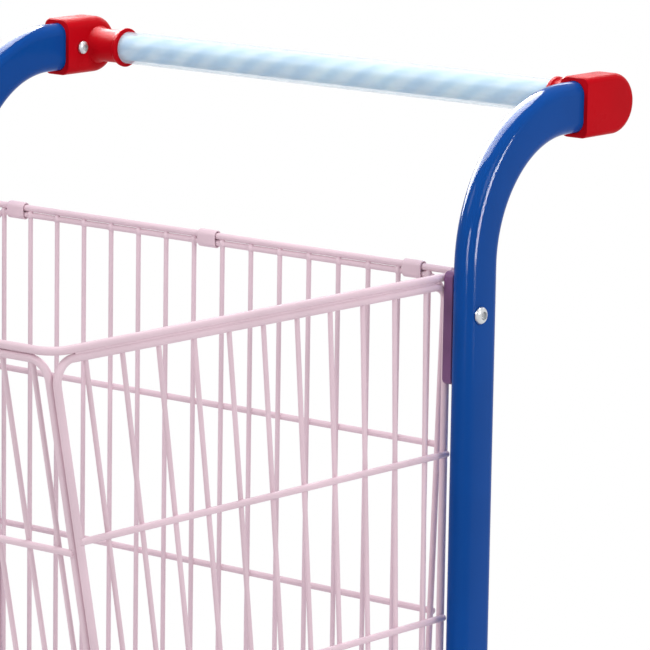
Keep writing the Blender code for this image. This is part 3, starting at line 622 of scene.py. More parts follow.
def finishes():
    """A material for every slot, and one for the film under the clear sleeve."""
    made = {
        "blue_paint": coating("blue_enamel", 0.10, (0.0030, 0.064, 0.305), 0.07, 9.0,
                              (0.08, 0.13, 25.0), (420.0, 0.05, 0.0004), 0.06),
        "pink_coating": coating("pink_powder_coat", 0.42, (0.774, 0.585, 0.650), 0.05, 14.0,
                                (0.36, 0.48, 60.0), (1500.0, 0.16, 0.0003), 0.30),
        # The plates' dark plum is painted shade: it darkens them for the shade they lie in against the posts
        "plum_plate": coating("plum_painted_shade", 0.45, (0.190, 0.080, 0.190), 0.10, 30.0,
                              (0.40, 0.52, 80.0), (1200.0, 0.18, 0.0003), 0.30),
        "red_plastic": coating("red_moulding", 0.30, (0.510, 0.0030, 0.0090), 0.06, 22.0,
                               (0.26, 0.36, 70.0), (1900.0, 0.12, 0.0003), 0.03),
        "zinc_steel": coating("zinc_plate", 0.30, (0.610, 0.625, 0.640), 0.10, 120.0,
                              (0.24, 0.40, 260.0), (900.0, 0.10, 0.0002), 0.50, metallic=1.0),
        "black_plastic": coating("black_moulding", 0.50, (0.020, 0.020, 0.022), 0.12, 60.0,
                                 (0.44, 0.56, 90.0), (1600.0, 0.20, 0.0003), 0.20),
        "grey_plastic": coating("grey_moulding", 0.45, (0.300, 0.310, 0.320), 0.06, 40.0,
                                (0.38, 0.52, 80.0), (1500.0, 0.16, 0.0003), 0.20),
        "grey_rubber": coating("grey_tread", 0.70, (0.110, 0.115, 0.120), 0.16, 70.0,
                               (0.62, 0.80, 90.0), (1100.0, 0.30, 0.0005), 0.20),
        "clear_sleeve": coating("clear_sleeve", 0.20, (0.700, 0.870, 0.980), 0.06, 30.0,
                                (0.16, 0.24, 40.0), (260.0, 0.06, 0.0003), 0.30),
        "handle_film": handle_film(),
    }
    made["clear_sleeve"].inputs["Alpha"].default_value = SLEEVE_ALPHA
    return {name: finish.material for name, finish in made.items()}


LOOK = finishes()


def add_posts():
    """The bent posts, the weld bead round each foot, and the plugs at the chassis tube's ends."""
    section = flat_oval(TUBE_WIDTH, TUBE_THICKNESS)
    bead_path = flat_oval(TUBE_WIDTH + POST_BEAD_SPREAD, TUBE_THICKNESS + POST_BEAD_SPREAD)
    for name, side in SIDES:
        x = side * POST_X
        corners = [(x, POST_Y, POST_LOW.z), (x, POST_Y, HANDLE_Z), (x, POST_HIGH.y, HANDLE_Z)]
        path = rounded_path(corners, POST_BEND_RADIUS, step_angle=FINE_BEND_STEP)
        node = name + "_post"
        piece(node, swept(node, path, section, plane=(1, 0, 0)), "blue_paint", node, gleam="post_gleam")
        bead = [(x + v, POST_Y + u, POST_LOW.z + POST_BEAD_RISE) for u, v in bead_path]
        weld = name + "_post_weld"
        piece(weld, swept(weld, bead, circle(POST_BEAD, BEAD_SIDES), closed=True), "blue_paint")
        node = name + "_chassis_plug"
        piece(node, plug_mesh(node), "black_plastic", node)


def plug_mesh(node):
    """A moulded end plug with a rounded rim, its wide side upright."""
    low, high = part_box(node)
    length = high.y - low.y
    levels = [(0.0, 0.0)]
    for turn in quarter(RIM_STEPS):
        levels.append((PLUG_ROUNDING * (1 - math.cos(turn)), length - PLUG_ROUNDING * (1 - math.sin(turn))))
    place = at(((low.x + high.x) / 2, low.y, CHASSIS_Z), (-math.pi / 2, 0, 0))
    shape = bmesh.new()
    rings = []
    for amount, height in levels:
        outline = flat_oval(TUBE_WIDTH - 2 * amount, TUBE_THICKNESS - 2 * amount)
        rings.append([shape.verts.new(place @ Vector((v, u, height))) for u, v in outline])
    skin(shape, rings)
    return mesh_from(node, shape)


def add_chassis():
    straight = (POST_X, HINGE.y - CHASSIS_STRAIGHT, CHASSIS_Z)
    nose = (POST_X - CHASSIS_CLOSING, HINGE.y - CHASSIS_FRONT, CHASSIS_Z)
    corners = both_sides([(POST_X, CHASSIS_HIGH.y, CHASSIS_Z), straight, nose])
    path = rounded_path(corners, CHASSIS_BEND_RADIUS, step_angle=FINE_BEND_STEP)
    mesh = swept("chassis", path, flat_oval(TUBE_WIDTH, TUBE_THICKNESS), plane=(0, 0, 1))
    piece("chassis", mesh, "blue_paint", "chassis")


def add_cradle():
    """The tube under the basket's floor, with a weld bead where each end meets its post."""
    below = FRAME_ROD / 2 + WIRE - WELD + SEAT + CRADLE_TUBE / 2
    end = POST_X - TUBE_THICKNESS / 2 - SEAT
    rail = end - CRADLE_INSET
    back = POST_Y - HINGE.y
    front = (rail - CRADLE_CLOSING, -CRADLE_REACH, -below)
    path = rounded_path(both_sides([(end, back, -below), (rail, back, -below), front]), CRADLE_BEND_RADIUS)
    place = at((0, HINGE.y, RIM_Z - BASKET_DEPTH), (-FLOOR_SLOPE, 0, 0))
    mesh = swept("cradle", path, circle(CRADLE_TUBE / 2, TUBE_SIDES), matrix=place)
    piece("cradle", mesh, "blue_paint", "basket_cradle")
    around = circle(CRADLE_TUBE / 2 + CRADLE_BEAD_SPREAD, RING_STEPS)
    for name, side in SIDES:
        ring = [(side * (end - CRADLE_BEAD_SETBACK), back + u, v - below) for u, v in around]
        weld = name + "_cradle_weld"
        mesh = swept(weld, ring, circle(CRADLE_BEAD, BEAD_SIDES), closed=True, matrix=place)
        piece(weld, mesh, "blue_paint")


def bracket_body(side, half, face):
    """A round-ended body about the handle's axis, with soft rims, whose tail is longer on its outer side."""
    levels = []
    for rounding, direction in ((BRACKET_OUTER_ROUNDING, 1), (BRACKET_INNER_ROUNDING, -1)):
        for turn in quarter(BRACKET_RIM_STEPS)[::direction]:
            across = face - rounding * (1 - math.cos(turn))
            levels.append((direction * across, rounding * (1 - math.sin(turn))))
    chamfer = BRACKET_MOUTH_CHAMFER
    shape = bmesh.new()
    rings = []
    for x, shrink in levels:
        height = half - shrink
        tail = BRACKET_TAIL * min(1, (x + face) / (2 * face - BRACKET_OUTER_ROUNDING))
        end = arc((0, 0), 1, -math.pi / 2, math.pi / 2, NOSE_STEPS)
        nose = [((height + tail) * u, height * v) for u, v in end]
        lower = [(-BRACKET_MOUTH, chamfer - height), (chamfer - BRACKET_MOUTH, -height)]
        upper = [(chamfer - BRACKET_MOUTH, height), (-BRACKET_MOUTH, height - chamfer)]
        rings.append([shape.verts.new((side * x, y, z)) for y, z in lower + nose + upper])
    for first, second in zip(rings, rings[1:]):
        for k in range(len(first) - 1):
            shape.faces.new((first[k], first[k + 1], second[k + 1], second[k]))
    shape.faces.new(rings[0])
    shape.faces.new(rings[-1])
    shape.faces.new([ring[0] for ring in rings] + [ring[-1] for ring in reversed(rings)])
    return mesh_from("bracket_body", shape)


def bracket_mesh(side):
    """The moulded bracket about the handle's axis: a round-ended socket with a waisted neck and a lip."""
    low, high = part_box("left_handle_bracket")
    face = high.x - POST_X
    lip = COLLAR_DIAMETER / 2
    waist = NECK_DIAMETER / 2
    end = POST_X - SLEEVE_HIGH.x - SEAT
    neck = [(0, 0), (NECK_ROOT[0][0], 0)]
    neck += [(radius, face + past) for radius, past in NECK_ROOT]
    neck.append((waist + NECK_ROOT_END[0], face + NECK_ROOT_END[1]))
    neck += arc((waist + BELL_RADIUS, end - BELL_SETBACK), BELL_RADIUS, math.pi, BELL_END, CURVE_STEPS)
    neck += [(lip - inwards, end - back) for inwards, back in LIP_CURVE]
    pocket = [(0, -BRACKET_MOUTH - CUT_PAST, 0), (0, SEAT - TUBE_STOP, 0)]
    section = flat_oval(TUBE_WIDTH + 2 * SEAT, TUBE_THICKNESS + 2 * SEAT)
    bore = CORE_DIAMETER / 2 + SEAT
    bottom = POST_X - CORE_END - SEAT
    hole = [(0, bottom), (bore, bottom), (bore, end + CUT_PAST), (0, end + CUT_PAST)]
    inward = along_x(side=-side)
    tools = [
        ("UNION", lathe("bracket_neck", neck + [(0, end)], matrix=inward)),
        ("DIFFERENCE", swept("bracket_pocket", pocket, section, plane=(1, 0, 0))),
        ("DIFFERENCE", lathe("bracket_bore", hole, matrix=inward)),
    ]
    return combined("bracket", bracket_body(side, (high.z - low.z) / 2, face), tools)


def screw_mesh(length, radius):
    """A button-head screw with a hexagon socket; its head stands on local z = 0."""
    profile = []
    for turn in quarter(DOME_STEPS)[:-1]:
        fall = math.cos(turn)
        rise = (1 - DOME_FULLNESS) * fall + DOME_FULLNESS * fall ** DOME_POWER
        profile.append((radius * math.sin(turn), SCREW_HEAD_HEIGHT * rise))
    shank = SCREW_DIAMETER / 2
    profile += [(radius, SCREW_RIM), (radius - SCREW_UNDERCUT, 0), (shank, 0), (shank, -length), (0, -length)]
    head = lathe("screw_head", profile, SCREW_STEPS)
    socket = SOCKET_SHARE * radius
    above = SCREW_HEAD_HEIGHT + SOCKET_CUT_PAST
    hollow = [(0, above), (socket, above), (socket, SOCKET_FLOOR), (0, SOCKET_POINT)]
    return combined("screw", head, [("DIFFERENCE", lathe("screw_socket", hollow, 6))])


def add_screw(node, outward):
    """The screw of this node, its head on the side that outward points to."""
    low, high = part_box(node)
    middle = (low + high) / 2
    head = high.x - SCREW_HEAD_HEIGHT if outward > 0 else low.x + SCREW_HEAD_HEIGHT
    mesh = screw_mesh(high.x - low.x - SCREW_HEAD_HEIGHT, (high.z - low.z) / 2)
    mesh.transform(along_x((head, middle.y, middle.z), outward))
    piece(node, mesh, "zinc_steel", node)


def chamfered_bar(radius, half, chamfer):
    """The profile of a bar's outside with chamfered ends."""
    return both_faces([(radius - chamfer, half), (radius, half - chamfer)])


def add_handle():
    """Brackets, all the screws, and the handle bar's core, film and clear sleeve."""
    for name, side in SIDES:
        node = name + "_handle_bracket"
        place = (side * POST_X, HANDLE_Y, HANDLE_Z)
        piece(node, bracket_mesh(side), "red_plastic", node, place=place, gleam="bracket_gleam")
        add_screw(name + "_bracket_screw", -side)
        add_screw(name + "_plate_screw", side)

    place = (0, HANDLE_Y, HANDLE_Z)
    radius = CORE_DIAMETER / 2
    half = (SLEEVE_HIGH.x - SLEEVE_LOW.x) / 2
    core = [(0, CORE_END)] + chamfered_bar(radius, CORE_END, CORE_CHAMFER) + [(0, -CORE_END)]
    piece("handle_core", lathe("core", core, matrix=along_x()), "zinc_steel", "handle_core", place=place)
    film = both_faces([(radius + FILM_INNER_GAP, half), (radius + FILM_OUTER_GAP, half)])
    mesh = lathe("film", film, matrix=along_x(), closed=True)
    piece("handle_film", mesh, "clear_sleeve", place=place, gleam="handle_gleam", look="handle_film")
    inner = radius + SEAT
    sleeve = [(inner, half)] + chamfered_bar(inner + SLEEVE_WALL, half, SLEEVE_CHAMFER) + [(inner, -half)]
    mesh = lathe("sleeve", sleeve, matrix=along_x(), closed=True)
    piece("handle_sleeve", mesh, "clear_sleeve", "handle_sleeve", place=place, gleam="handle_gleam")


def add_plates():
    for name, side in SIDES:
        node = name + "_basket_plate"
        low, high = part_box(node)
        outline = rounded_rectangle((low.y, low.z), (high.y, high.z), PLATE_CORNER_RADIUS)
        shape = bmesh.new()
        pillow(shape, outline, high.x - low.x, PLATE_ROUNDING, at(((low.x + high.x) / 2, 0, 0), UPRIGHT))
        # Painted shade: the plates take a dark plum for the shade they lie in beside the posts
        piece(node, mesh_from(node, shape), "plum_plate", node)


def crossing(wire, row):
    """Where a wire's line crosses a row's line, in the panel's drawing plane."""
    (ax, ay), (bx, by) = wire
    (cx, cy), (dx, dy) = row
    across = (bx - ax) * (dy - cy) - (by - ay) * (dx - cx)
    share = ((cx - ax) * (dy - cy) - (cy - ay) * (dx - cx)) / across
    return ax + (bx - ax) * share, ay + (by - ay) * share


def grille(node, corners, bend, wires, rows, offsets, place, body="trolley", frame_rod=FRAME_ROD):
    """A welded panel: a bent frame rod, wires and rows at their offsets, and a bead at each weld."""
    outline = rounded_path(corners, bend, closed=True)
    shape = bmesh.new()
    sweep(shape, outline, circle(frame_rod / 2, ROD_SIDES), closed=True, plane=(0, 0, 1), matrix=place)
    for paths, diameter, offset in ((wires, WIRE, offsets[0]), (rows, ROW_ROD, offsets[1])):
        for path in paths:
            line = [(x, y, offset) for x, y in path]
            sweep(shape, line, circle(diameter / 2, WIRE_SIDES), cut=WIRE_CUT, matrix=place)
    middle = (offsets[0] + offsets[1]) / 2
    for wire in wires:
        for row in rows:
            spot_weld(shape, place @ at((*crossing(wire, row), middle)), CROSSING_WELD)
        for x, y in wire:
            spot_weld(shape, place @ at((x, y, offsets[0])), WIRE_END_WELD)
    piece(node, mesh_from(node, shape), "pink_coating", node, body)


def wall_offsets(outward):
    """The wires lie a little inside the frame's plane, and the rows on the outside of the wires."""
    row = (WIRE + ROW_ROD) / 2 - WELD - WIRE_INSET
    return (-outward * WIRE_INSET, outward * row)


def nose_at(drop):
    """How far ahead of the hinge the leaning front is, at this drop below the rim."""
    return RIM_LENGTH - drop * math.tan(FRONT_LEAN)


def add_side_panel(name, side):
    corners = [
        (-PANEL_SETBACK, -STACK, 0),
        (-nose_at(STACK), -STACK, 0),
        (-nose_at(FRONT_DEPTH), -FRONT_DEPTH, 0),
        (-PANEL_SETBACK, -BASKET_DEPTH, 0),
    ]
    wires = []
    slope = math.tan(FLOOR_SLOPE)
    closing = math.tan(FRONT_LEAN) / RIM_LENGTH
    for index in range(SIDE_WIRES):
        share = index / (SIDE_WIRES - 1)
        reach = SIDE_WIRE_REAR + (RIM_LENGTH - SIDE_WIRE_FRONT - SIDE_WIRE_REAR) * share
        drop = (BASKET_DEPTH - slope * reach) / (1 - slope * closing * reach)
        wires.append([(-reach * (1 - closing * STACK), -STACK), (-reach * (1 - closing * drop), -drop)])
    rear = ROW_OVERHANG - PANEL_SETBACK
    rows = [[(rear, -drop), (-nose_at(drop) - ROW_OVERHANG, -drop)] for drop in ROW_DROPS]
    place = at((side * WALL_X, HINGE.y, RIM_Z), (UPRIGHT[0], 0, UPRIGHT[2] - side * WALL_TAPER))
    grille(name + "_side_panel", corners, FRAME_BEND_RADIUS, wires, rows, wall_offsets(side), place)


def add_front_panel():
    fall = math.cos(FRONT_LEAN)
    narrow = math.tan(WALL_TAPER) * math.sin(FRONT_LEAN)
    top = -STACK / fall
    bottom = -FRONT_DEPTH / fall
    half_top = NOSE_X - STACK - narrow * top
    half_bottom = NOSE_X - STACK - narrow * bottom
    corners = [(-half_top, top, 0), (half_top, top, 0), (half_bottom, bottom, 0), (-half_bottom, bottom, 0)]
    wires = []
    for index in range(FRONT_WIRES):
        share = (2 * index + 1) / FRONT_WIRES - 1
        wires.append([(share * half_top, top), (share * half_bottom, bottom)])
    rows = []
    for drop in ROW_DROPS:
        down = -(drop + FRONT_ROW_OFFSET) / fall
        half = NOSE_X - STACK - narrow * down + ROW_OVERHANG
        rows.append([(-half, down), (half, down)])
    place = at((0, HINGE.y - RIM_LENGTH, RIM_Z), (math.pi / 2 + FRONT_LEAN, 0, 0))
    grille("front_panel", corners, FRAME_BEND_RADIUS, wires, rows, wall_offsets(1), place)


def add_floor_panel():
    stretch = 1 / math.cos(FLOOR_SLOPE)
    rear = GATE_STOP * math.cos(GATE_STOP_ANGLE) * stretch
    front = -(FLOOR_FRONT - STACK) * stretch
    half_rear = WALL_X - STACK
    half_front = half_rear + front * math.tan(WALL_TAPER)
    corners = [(half_rear, rear, 0), (-half_rear, rear, 0), (-half_front, front, 0), (half_front, front, 0)]
    below = -((FRAME_ROD + WIRE) / 2 - WELD)
    wires = []
    for index in range(FLOOR_WIRES):
        share = 2 * (index + 1) / (FLOOR_WIRES + 1) - 1
        wires.append([(share * half_rear, rear + ROW_OVERHANG), (share * half_front, front - ROW_OVERHANG)])
    rows = []
    for index in range(FLOOR_ROWS):
        along = rear + (front - rear) * (index + 1) / (FLOOR_ROWS + 1)
        half = half_rear + along * math.tan(WALL_TAPER)
        rows.append([(-half, along), (half, along)])
    offsets = (below, below + (WIRE + ROW_ROD) / 2 - WELD)
    place = at((0, HINGE.y, RIM_Z - BASKET_DEPTH), (-FLOOR_SLOPE, 0, 0))
    grille("floor_panel", corners, FRAME_BEND_RADIUS, wires, rows, offsets, place)


def add_gate():
    """The swinging gate and the three strap clips that hang it on the hinge rod."""
    half_bottom = GATE_HALF - GATE_DEPTH * math.tan(WALL_TAPER)
    corners = [(-GATE_HALF, -HINGE_STACK, 0), (GATE_HALF, -HINGE_STACK, 0)]
    corners += [(half_bottom, -GATE_DEPTH, 0), (-half_bottom, -GATE_DEPTH, 0)]
    places = [GATE_PITCH * (index - (GATE_WIRES - 1) / 2) for index in range(GATE_WIRES)]
    wires = [[(x, -HINGE_STACK), (x, -GATE_DEPTH)] for x in places]
    rows = []
    for drop in GATE_ROW_DROPS:
        half = GATE_HALF - (drop - HINGE_STACK) * math.tan(WALL_TAPER) + ROW_OVERHANG
        rows.append([(-half, -drop), (half, -drop)])
    place = at(HINGE, (math.pi / 2, 0, 0))
    grille("rear_gate", corners, GATE_BEND_RADIUS, wires, rows, wall_offsets(-1), place, "gate", GATE_ROD)

    room = RUN + CLIP_WALL / 2
    upper = arc((0, 0), HINGE_ROD / 2 + room, 0, math.pi, CLIP_STEPS)
    lower = arc((0, -HINGE_STACK), GATE_ROD / 2 + room, math.pi, 2 * math.pi, CLIP_STEPS)
    for name in ("left", "middle", "right"):
        node = name + "_hinge_clip"
        low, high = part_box(node)
        corner = Vector((CLIP_WALL / 2, (high.x - low.x) / 2))
        strap = rounded_rectangle(-corner, corner, CLIP_ROUNDING, CLIP_BEND_STEP)
        centre = (low.x + high.x) / 2
        loop = [(centre, HINGE.y + u, HINGE.z + v) for u, v in upper + lower]
        piece(node, swept(node, loop, strap, closed=True, plane=(1, 0, 0)), "pink_coating", node, "gate")


def add_basket():
    """The rim, the hinge rod, the four fixed panels, the gate, and the welds along the rim."""
    tail = HINGE_ROD / 2
    corners = both_sides([(WALL_X + tail * math.tan(WALL_TAPER), tail, 0), (NOSE_X, -RIM_LENGTH, 0)])
    path = rounded_path(corners, RIM_BEND_RADIUS)
    place = at((0, HINGE.y, RIM_Z))
    mesh = swept("rim", path, circle(FRAME_ROD / 2, ROD_SIDES), plane=(0, 0, 1), cut=ROD_CUT, matrix=place)
    piece("rim_rod", mesh, "pink_coating", "rim_rod")
    low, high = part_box("hinge_rod")
    line = [(low.x, HINGE.y, HINGE.z), (high.x, HINGE.y, HINGE.z)]
    mesh = swept("hinge", line, circle(HINGE_ROD / 2, ROD_SIDES), cut=WIRE_CUT)
    piece("hinge_rod", mesh, "pink_coating", "hinge_rod")
    for name, side in SIDES:
        add_side_panel(name, side)
    add_front_panel()
    add_floor_panel()
    add_gate()
    for name, side in SIDES:
        add_rim_welds(name, side)


def add_rim_welds(name, side):
    """The coating that fills the groove between rim and side panel, and weld beads under the front rim."""
    level = RIM_Z - STACK / 2
    ends = []
    for reach in (PANEL_SETBACK + FRAME_BEND_RADIUS, nose_at(STACK) - RIM_FILL_FRONT):
        ends.append((side * (WALL_X - reach * math.tan(WALL_TAPER)), HINGE.y - reach, level))
    fill = [(RIM_FILL_WIDTH / 2 * u, RIM_FILL_HEIGHT / 2 * v) for u, v in circle(1, WIRE_SIDES)]
    shape = bmesh.new()
    sweep(shape, ends, fill, plane=(0, 0, 1), cut=FILL_CUT)
    for share in FRONT_RIM_WELD_SHARES:
        place = at((side * NOSE_X * share, HINGE.y - RIM_LENGTH + FRONT_RIM_WELD_BACK, level))
        spot_weld(shape, place, FRONT_RIM_WELD)
    welds = name + "_rim_welds"
    piece(welds, mesh_from(welds, shape), "pink_coating")


def hexagon(shape, bottom, top, chamfered, hole=0.0):
    """A hexagon nut or bolt head with the corners of its outer faces chamfered."""
    flat = HEX_ACROSS_CORNERS / 2 * math.cos(math.pi / 6)
    round_radius = flat * HEX_ROUND_SHARE
    turns = [2 * math.pi * k / HEX_STEPS for k in range(HEX_STEPS)]
    corners = [flat / math.cos((turn + math.pi / 6) % (math.pi / 3) - math.pi / 6) for turn in turns]

    def ring(radii, heights):
        points = zip(turns, radii, heights)
        return [shape.verts.new((r * math.cos(turn), r * math.sin(turn), h)) for turn, r, h in points]

    inner = [min(radius, round_radius) for radius in corners]
    drops = [max(0.0, radius - round_radius) * math.tan(HEX_CHAMFER) for radius in corners]
    rings = [
        ring(inner, [bottom] * HEX_STEPS),
        ring(corners, [bottom + drop * chamfered[0] for drop in drops]),
        ring(corners, [top - drop * chamfered[1] for drop in drops]),
        ring(inner, [top] * HEX_STEPS),
    ]
    if hole:
        rings.insert(0, ring([hole] * HEX_STEPS, [bottom] * HEX_STEPS))
        rings.append(ring([hole] * HEX_STEPS, [top] * HEX_STEPS))
    skin(shape, rings, closed=bool(hole))


def race_mesh():
    """Two pressed cups with a dark slit for the balls between them."""
    outer = RACE_DIAMETER / 2
    inner = CASTOR_BOLT / 2 + SEAT
    top = -SEAT
    bottom = -RACE_HEIGHT - SEAT
    middle = (top + bottom) / 2
    floor = outer - RACE_SLIT_DEPTH
    profile = [(inner, top)]
    profile += [(outer - inwards, top - down) for inwards, down in RACE_SHOULDER]
    profile += [(outer, middle + RACE_SLIT), (floor, middle + RACE_SLIT_FLOOR)]
    profile += [(floor, middle - RACE_SLIT_FLOOR), (outer, middle - RACE_SLIT)]
    profile += [(outer, bottom + RACE_EDGE), (outer - RACE_EDGE, bottom), (inner, bottom)]
    return lathe("castor_race", profile, closed=True)


def bolt_mesh():
    head_low = TUBE_THICKNESS + SEAT
    shape = bmesh.new()
    hexagon(shape, head_low, head_low + HEX_HEIGHT, (0, 1))
    head = mesh_from("bolt_head", shape)
    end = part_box("rear_left_castor_bolt")[0].z - CASTOR_HEIGHT
    radius = CASTOR_BOLT / 2
    top = head_low + BOLT_OVERLAP
    shank = [(0, top), (radius, top), (radius, end + BOLT_CHAMFER), (radius - BOLT_CHAMFER, end), (0, end)]
    return combined("castor_bolt", head, [("UNION", lathe("bolt_shank", shank, SCREW_STEPS))])


def nut_mesh():
    low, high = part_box("rear_left_castor_nut")
    shape = bmesh.new()
    hexagon(shape, low.z - CASTOR_HEIGHT, high.z - CASTOR_HEIGHT, (1, 1), CASTOR_BOLT / 2 + SEAT)
    return mesh_from("castor_nut", shape)


def fork_mesh():
    """The pressed fork: a dished crown and two legs that lean back to the axle."""
    top = -RACE_HEIGHT - 2 * SEAT
    inner = CASTOR_BOLT / 2 + RUN
    crown = [(inner, top)]
    crown += [(CROWN_DIAMETER / 2 - inwards, top - down) for inwards, down in CROWN_EDGE]
    crown += [(FORK_LEG_X + FORK_SHEET / 2, top - FORK_SHEET), (inner, top - FORK_SHEET)]
    base = lathe("fork_crown", crown, closed=True)
    shoulder = top - FORK_SHEET / 2
    outline = [(FORK_LEG_WIDTH / 2, shoulder), (-FORK_LEG_WIDTH / 2, shoulder)]
    outline += arc((CASTOR_TRAIL, AXLE_Z), FORK_EYE_DIAMETER / 2, FORK_EYE_START, 2 * math.pi, EYE_STEPS)
    tools = []
    for name, side in SIDES:
        shape = bmesh.new()
        pillow(shape, outline, FORK_SHEET, FORK_ROUNDING, at((side * FORK_LEG_X, 0, 0), UPRIGHT))
        tools.append(("UNION", mesh_from("fork_" + name + "_leg", shape)))
    bore = both_faces([(0, FORK_BORE_REACH), (AXLE_DIAMETER / 2 + SEAT, FORK_BORE_REACH)])
    hole = lathe("fork_hole", bore, SCREW_STEPS, along_x((0, CASTOR_TRAIL, AXLE_Z)))
    tools.append(("DIFFERENCE", hole))
    return combined("castor_fork", base, tools)


def axle_mesh():
    """A pin with a dimpled rivet head at both ends."""
    grip = FORK_LEG_X + FORK_SHEET / 2 + SEAT
    end = grip + AXLE_HEAD_HEIGHT
    head = AXLE_HEAD_DIAMETER / 2
    profile = [(0, end - RIVET_CURVE[0][1])]
    profile += [(head - inwards, end - down) for inwards, down in RIVET_CURVE]
    profile += [(head, grip), (AXLE_DIAMETER / 2, grip)]
    return lathe("castor_axle", both_faces(profile), matrix=along_x((0, CASTOR_TRAIL, AXLE_Z)))


def hub_mesh():
    """A moulded hub: a bearing boss and a rim joined by a web with ribs on both faces."""
    half = WHEEL_WIDTH / 2
    rim = WHEEL_DIAMETER / 2 - TYRE_DEPTH
    inner_rim = rim - HUB_WEB
    boss = HUB_BOSS_DIAMETER / 2
    web = HUB_WEB / 2
    bore = AXLE_DIAMETER / 2 + RUN
    face = [(bore, half - HUB_BORE_EDGE), (bore + HUB_BORE_EDGE, half)]
    face += [(boss + outwards, half - down) for outwards, down in BOSS_EDGE]
    face += [(boss + outwards, web + up) for outwards, up in BOSS_ROOT]
    face += [(inner_rim + outwards, web + up) for outwards, up in HUB_RIM_ROOT]
    face += [(rim - inwards, half - down) for inwards, down in HUB_RIM_EDGE]
    base = lathe("hub_body", both_faces(face), matrix=along_x(), closed=True)
    start = boss - RIB_INNER_OVERLAP
    end = inner_rim + RIB_OUTER_OVERLAP
    width = RIB_HALF_WIDTH
    outline = [(start, -width), (end, -width), (end, width), (start, width)]
    shape = bmesh.new()
    for k in range(RIB_COUNT):
        turned = Matrix.Rotation(2 * math.pi * k / RIB_COUNT, 4, "X") @ at((0, 0, 0), UPRIGHT)
        pillow(shape, outline, 2 * (web + RIB_RISE), RIB_ROUNDING, turned)
    return combined("castor_hub", base, [("UNION", mesh_from("hub_ribs", shape))])


def tyre_mesh():
    """A solid tyre with rounded shoulders and two shallow grooves."""
    half = WHEEL_WIDTH / 2
    outer = WHEEL_DIAMETER / 2
    inner = outer - TYRE_DEPTH + SEAT
    centre = (outer - TYRE_SHOULDER, half - TYRE_SHOULDER)
    side = [(inner, half - TYRE_EDGE), (inner + TYRE_EDGE, half)]
    side += arc(centre, TYRE_SHOULDER, math.pi / 2, 0, CURVE_STEPS)
    side += [(outer - depth, height) for depth, height in TYRE_GROOVE]
    return lathe("castor_tyre", both_faces(side), TYRE_STEPS, along_x(), closed=True)


def add_castors():
    """Four swivel castors, each built about its own pivot or axle."""
    fixed = {"race": race_mesh(), "bolt": bolt_mesh(), "nut": nut_mesh()}
    swivel = {"fork": fork_mesh(), "axle": axle_mesh()}
    wheel = {"hub": hub_mesh(), "tyre": tyre_mesh()}
    slots = {"hub": "grey_plastic", "tyre": "grey_rubber"}
    for end in ("front", "rear"):
        for name, side in SIDES:
            corner = end + "_" + name
            pivot = JOINTS[corner + "_turn"]
            for meshes, body, place in (
                (fixed, "trolley", pivot),
                (swivel, corner + "_swivel", pivot),
                (wheel, corner + "_wheel", JOINTS[corner + "_roll"]),
            ):
                for part, mesh in meshes.items():
                    node = corner + "_castor_" + part
                    piece(node, mesh.copy(), slots.get(part, "zinc_steel"), node, body, place)


def seen_ray(tree):
    """1 for rays that the camera, a reflection or a clear body sends out, and 0 for light itself."""
    rays = tree.nodes.new("ShaderNodeLightPath").outputs
    total = rays["Is Camera Ray"]
    for name in ("Is Glossy Ray", "Is Transmission Ray"):
        total = maths(tree, "MAXIMUM", total, rays[name])
    return total


def mix_into(tree, output, share, first, second):
    """Shows the first shader, or the second by this share."""
    mix = add_node(tree, "ShaderNodeMixShader", Fac=share)
    feed(tree, mix.inputs[1], first.outputs[0])
    feed(tree, mix.inputs[2], second.outputs[0])
    add_node(tree, output, Surface=mix.outputs[0])


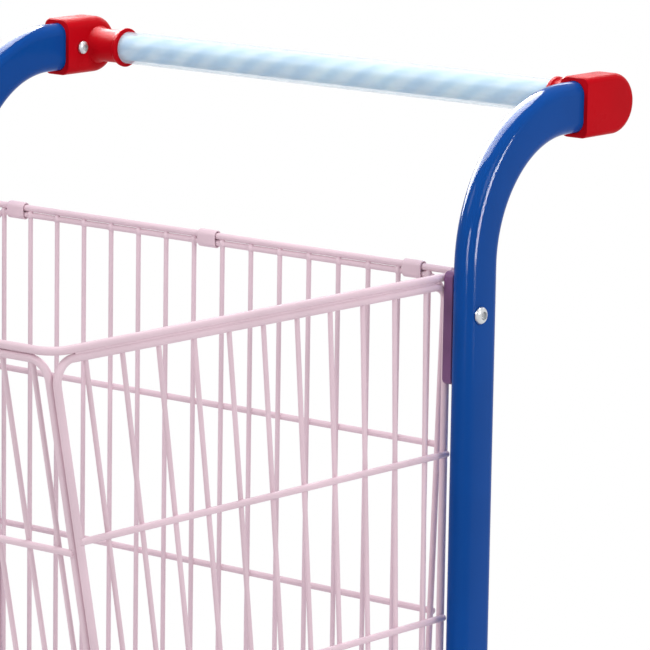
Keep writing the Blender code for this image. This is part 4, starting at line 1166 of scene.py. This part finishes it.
def add_stage():
    """A pale floor that keeps the shadow near the trolley and fades to white away from it."""
    shape = bmesh.new()
    bmesh.ops.create_circle(shape, cap_ends=True, segments=FLOOR_STEPS, radius=FLOOR_RADIUS)
    mesh = mesh_from("floor", shape)
    floor = bpy.data.objects.new("floor", mesh)
    floor.location = (0, 0, -FLOOR_DROP)
    SCENE.collection.objects.link(floor)
    material = bpy.data.materials.new("floor")
    material.use_nodes = True
    tree = material.node_tree
    tree.nodes.clear()
    pale = add_node(tree, "ShaderNodeBsdfDiffuse", Color=FLOOR_COLOUR)
    white = tree.nodes.new("ShaderNodeEmission")
    place = tree.nodes.new("ShaderNodeTexCoord").outputs["Object"]
    length = tree.nodes.new("ShaderNodeVectorMath")
    length.operation = "LENGTH"
    feed(tree, length.inputs[0], place)
    fade = add_node(tree, "ShaderNodeMapRange", Value=length.outputs["Value"],
                    From_Min=FLOOR_FADE_START, From_Max=FLOOR_FADE_END)
    fade.interpolation_type = "SMOOTHSTEP"
    share = maths(tree, "MULTIPLY", fade.outputs["Result"], seen_ray(tree))
    mix_into(tree, "ShaderNodeOutputMaterial", share, pale, white)
    mesh.materials.append(material)


def add_light():
    """A pale world that shows as white, lamps, and the panels that some pieces mirror."""
    world = bpy.data.worlds.new("studio")
    SCENE.world = world
    world.use_nodes = True
    tree = world.node_tree
    tree.nodes.clear()
    fill = add_node(tree, "ShaderNodeBackground", Color=WORLD_COLOUR, Strength=WORLD_STRENGTH)
    white = add_node(tree, "ShaderNodeBackground", Color=WHITE)
    mix_into(tree, "ShaderNodeOutputWorld", seen_ray(tree), fill, white)
    for name, place, power, size in LAMPS + PANELS:
        lamp = bpy.data.lights.new(name, "AREA")
        lamp.energy = power
        lamp.shape = "RECTANGLE"
        lamp.size, lamp.size_y = size
        obj = bpy.data.objects.new(name, lamp)
        obj.location = place
        obj.rotation_mode = "QUATERNION"
        obj.rotation_quaternion = (LAMP_TARGET - Vector(place)).to_track_quat("-Z", "Y")
        obj.visible_camera = False
        if name in MIRRORING:
            obj.visible_diffuse = False
            obj.light_linking.receiver_collection = MIRRORING[name]
        SCENE.collection.objects.link(obj)


def add_camera():
    camera = bpy.data.cameras.new("camera")
    camera.sensor_width = CAMERA_SENSOR
    camera.lens = CAMERA_LENS
    camera.clip_end = CAMERA_REACH
    obj = bpy.data.objects.new("camera", camera)
    SCENE.collection.objects.link(obj)
    back = CAMERA_RIGHT.cross(CAMERA_UP).normalized()
    up = back.cross(CAMERA_RIGHT).normalized()
    axes = Matrix((CAMERA_RIGHT.normalized(), up, back)).transposed().to_4x4()
    obj.matrix_world = Matrix.Translation(CAMERA_PLACE) @ axes
    SCENE.camera = obj


SCENE.view_settings.view_transform = "Standard"
add_camera()
add_light()
add_stage()
add_posts()
add_chassis()
add_cradle()
add_handle()
add_plates()
add_basket()
add_castors()
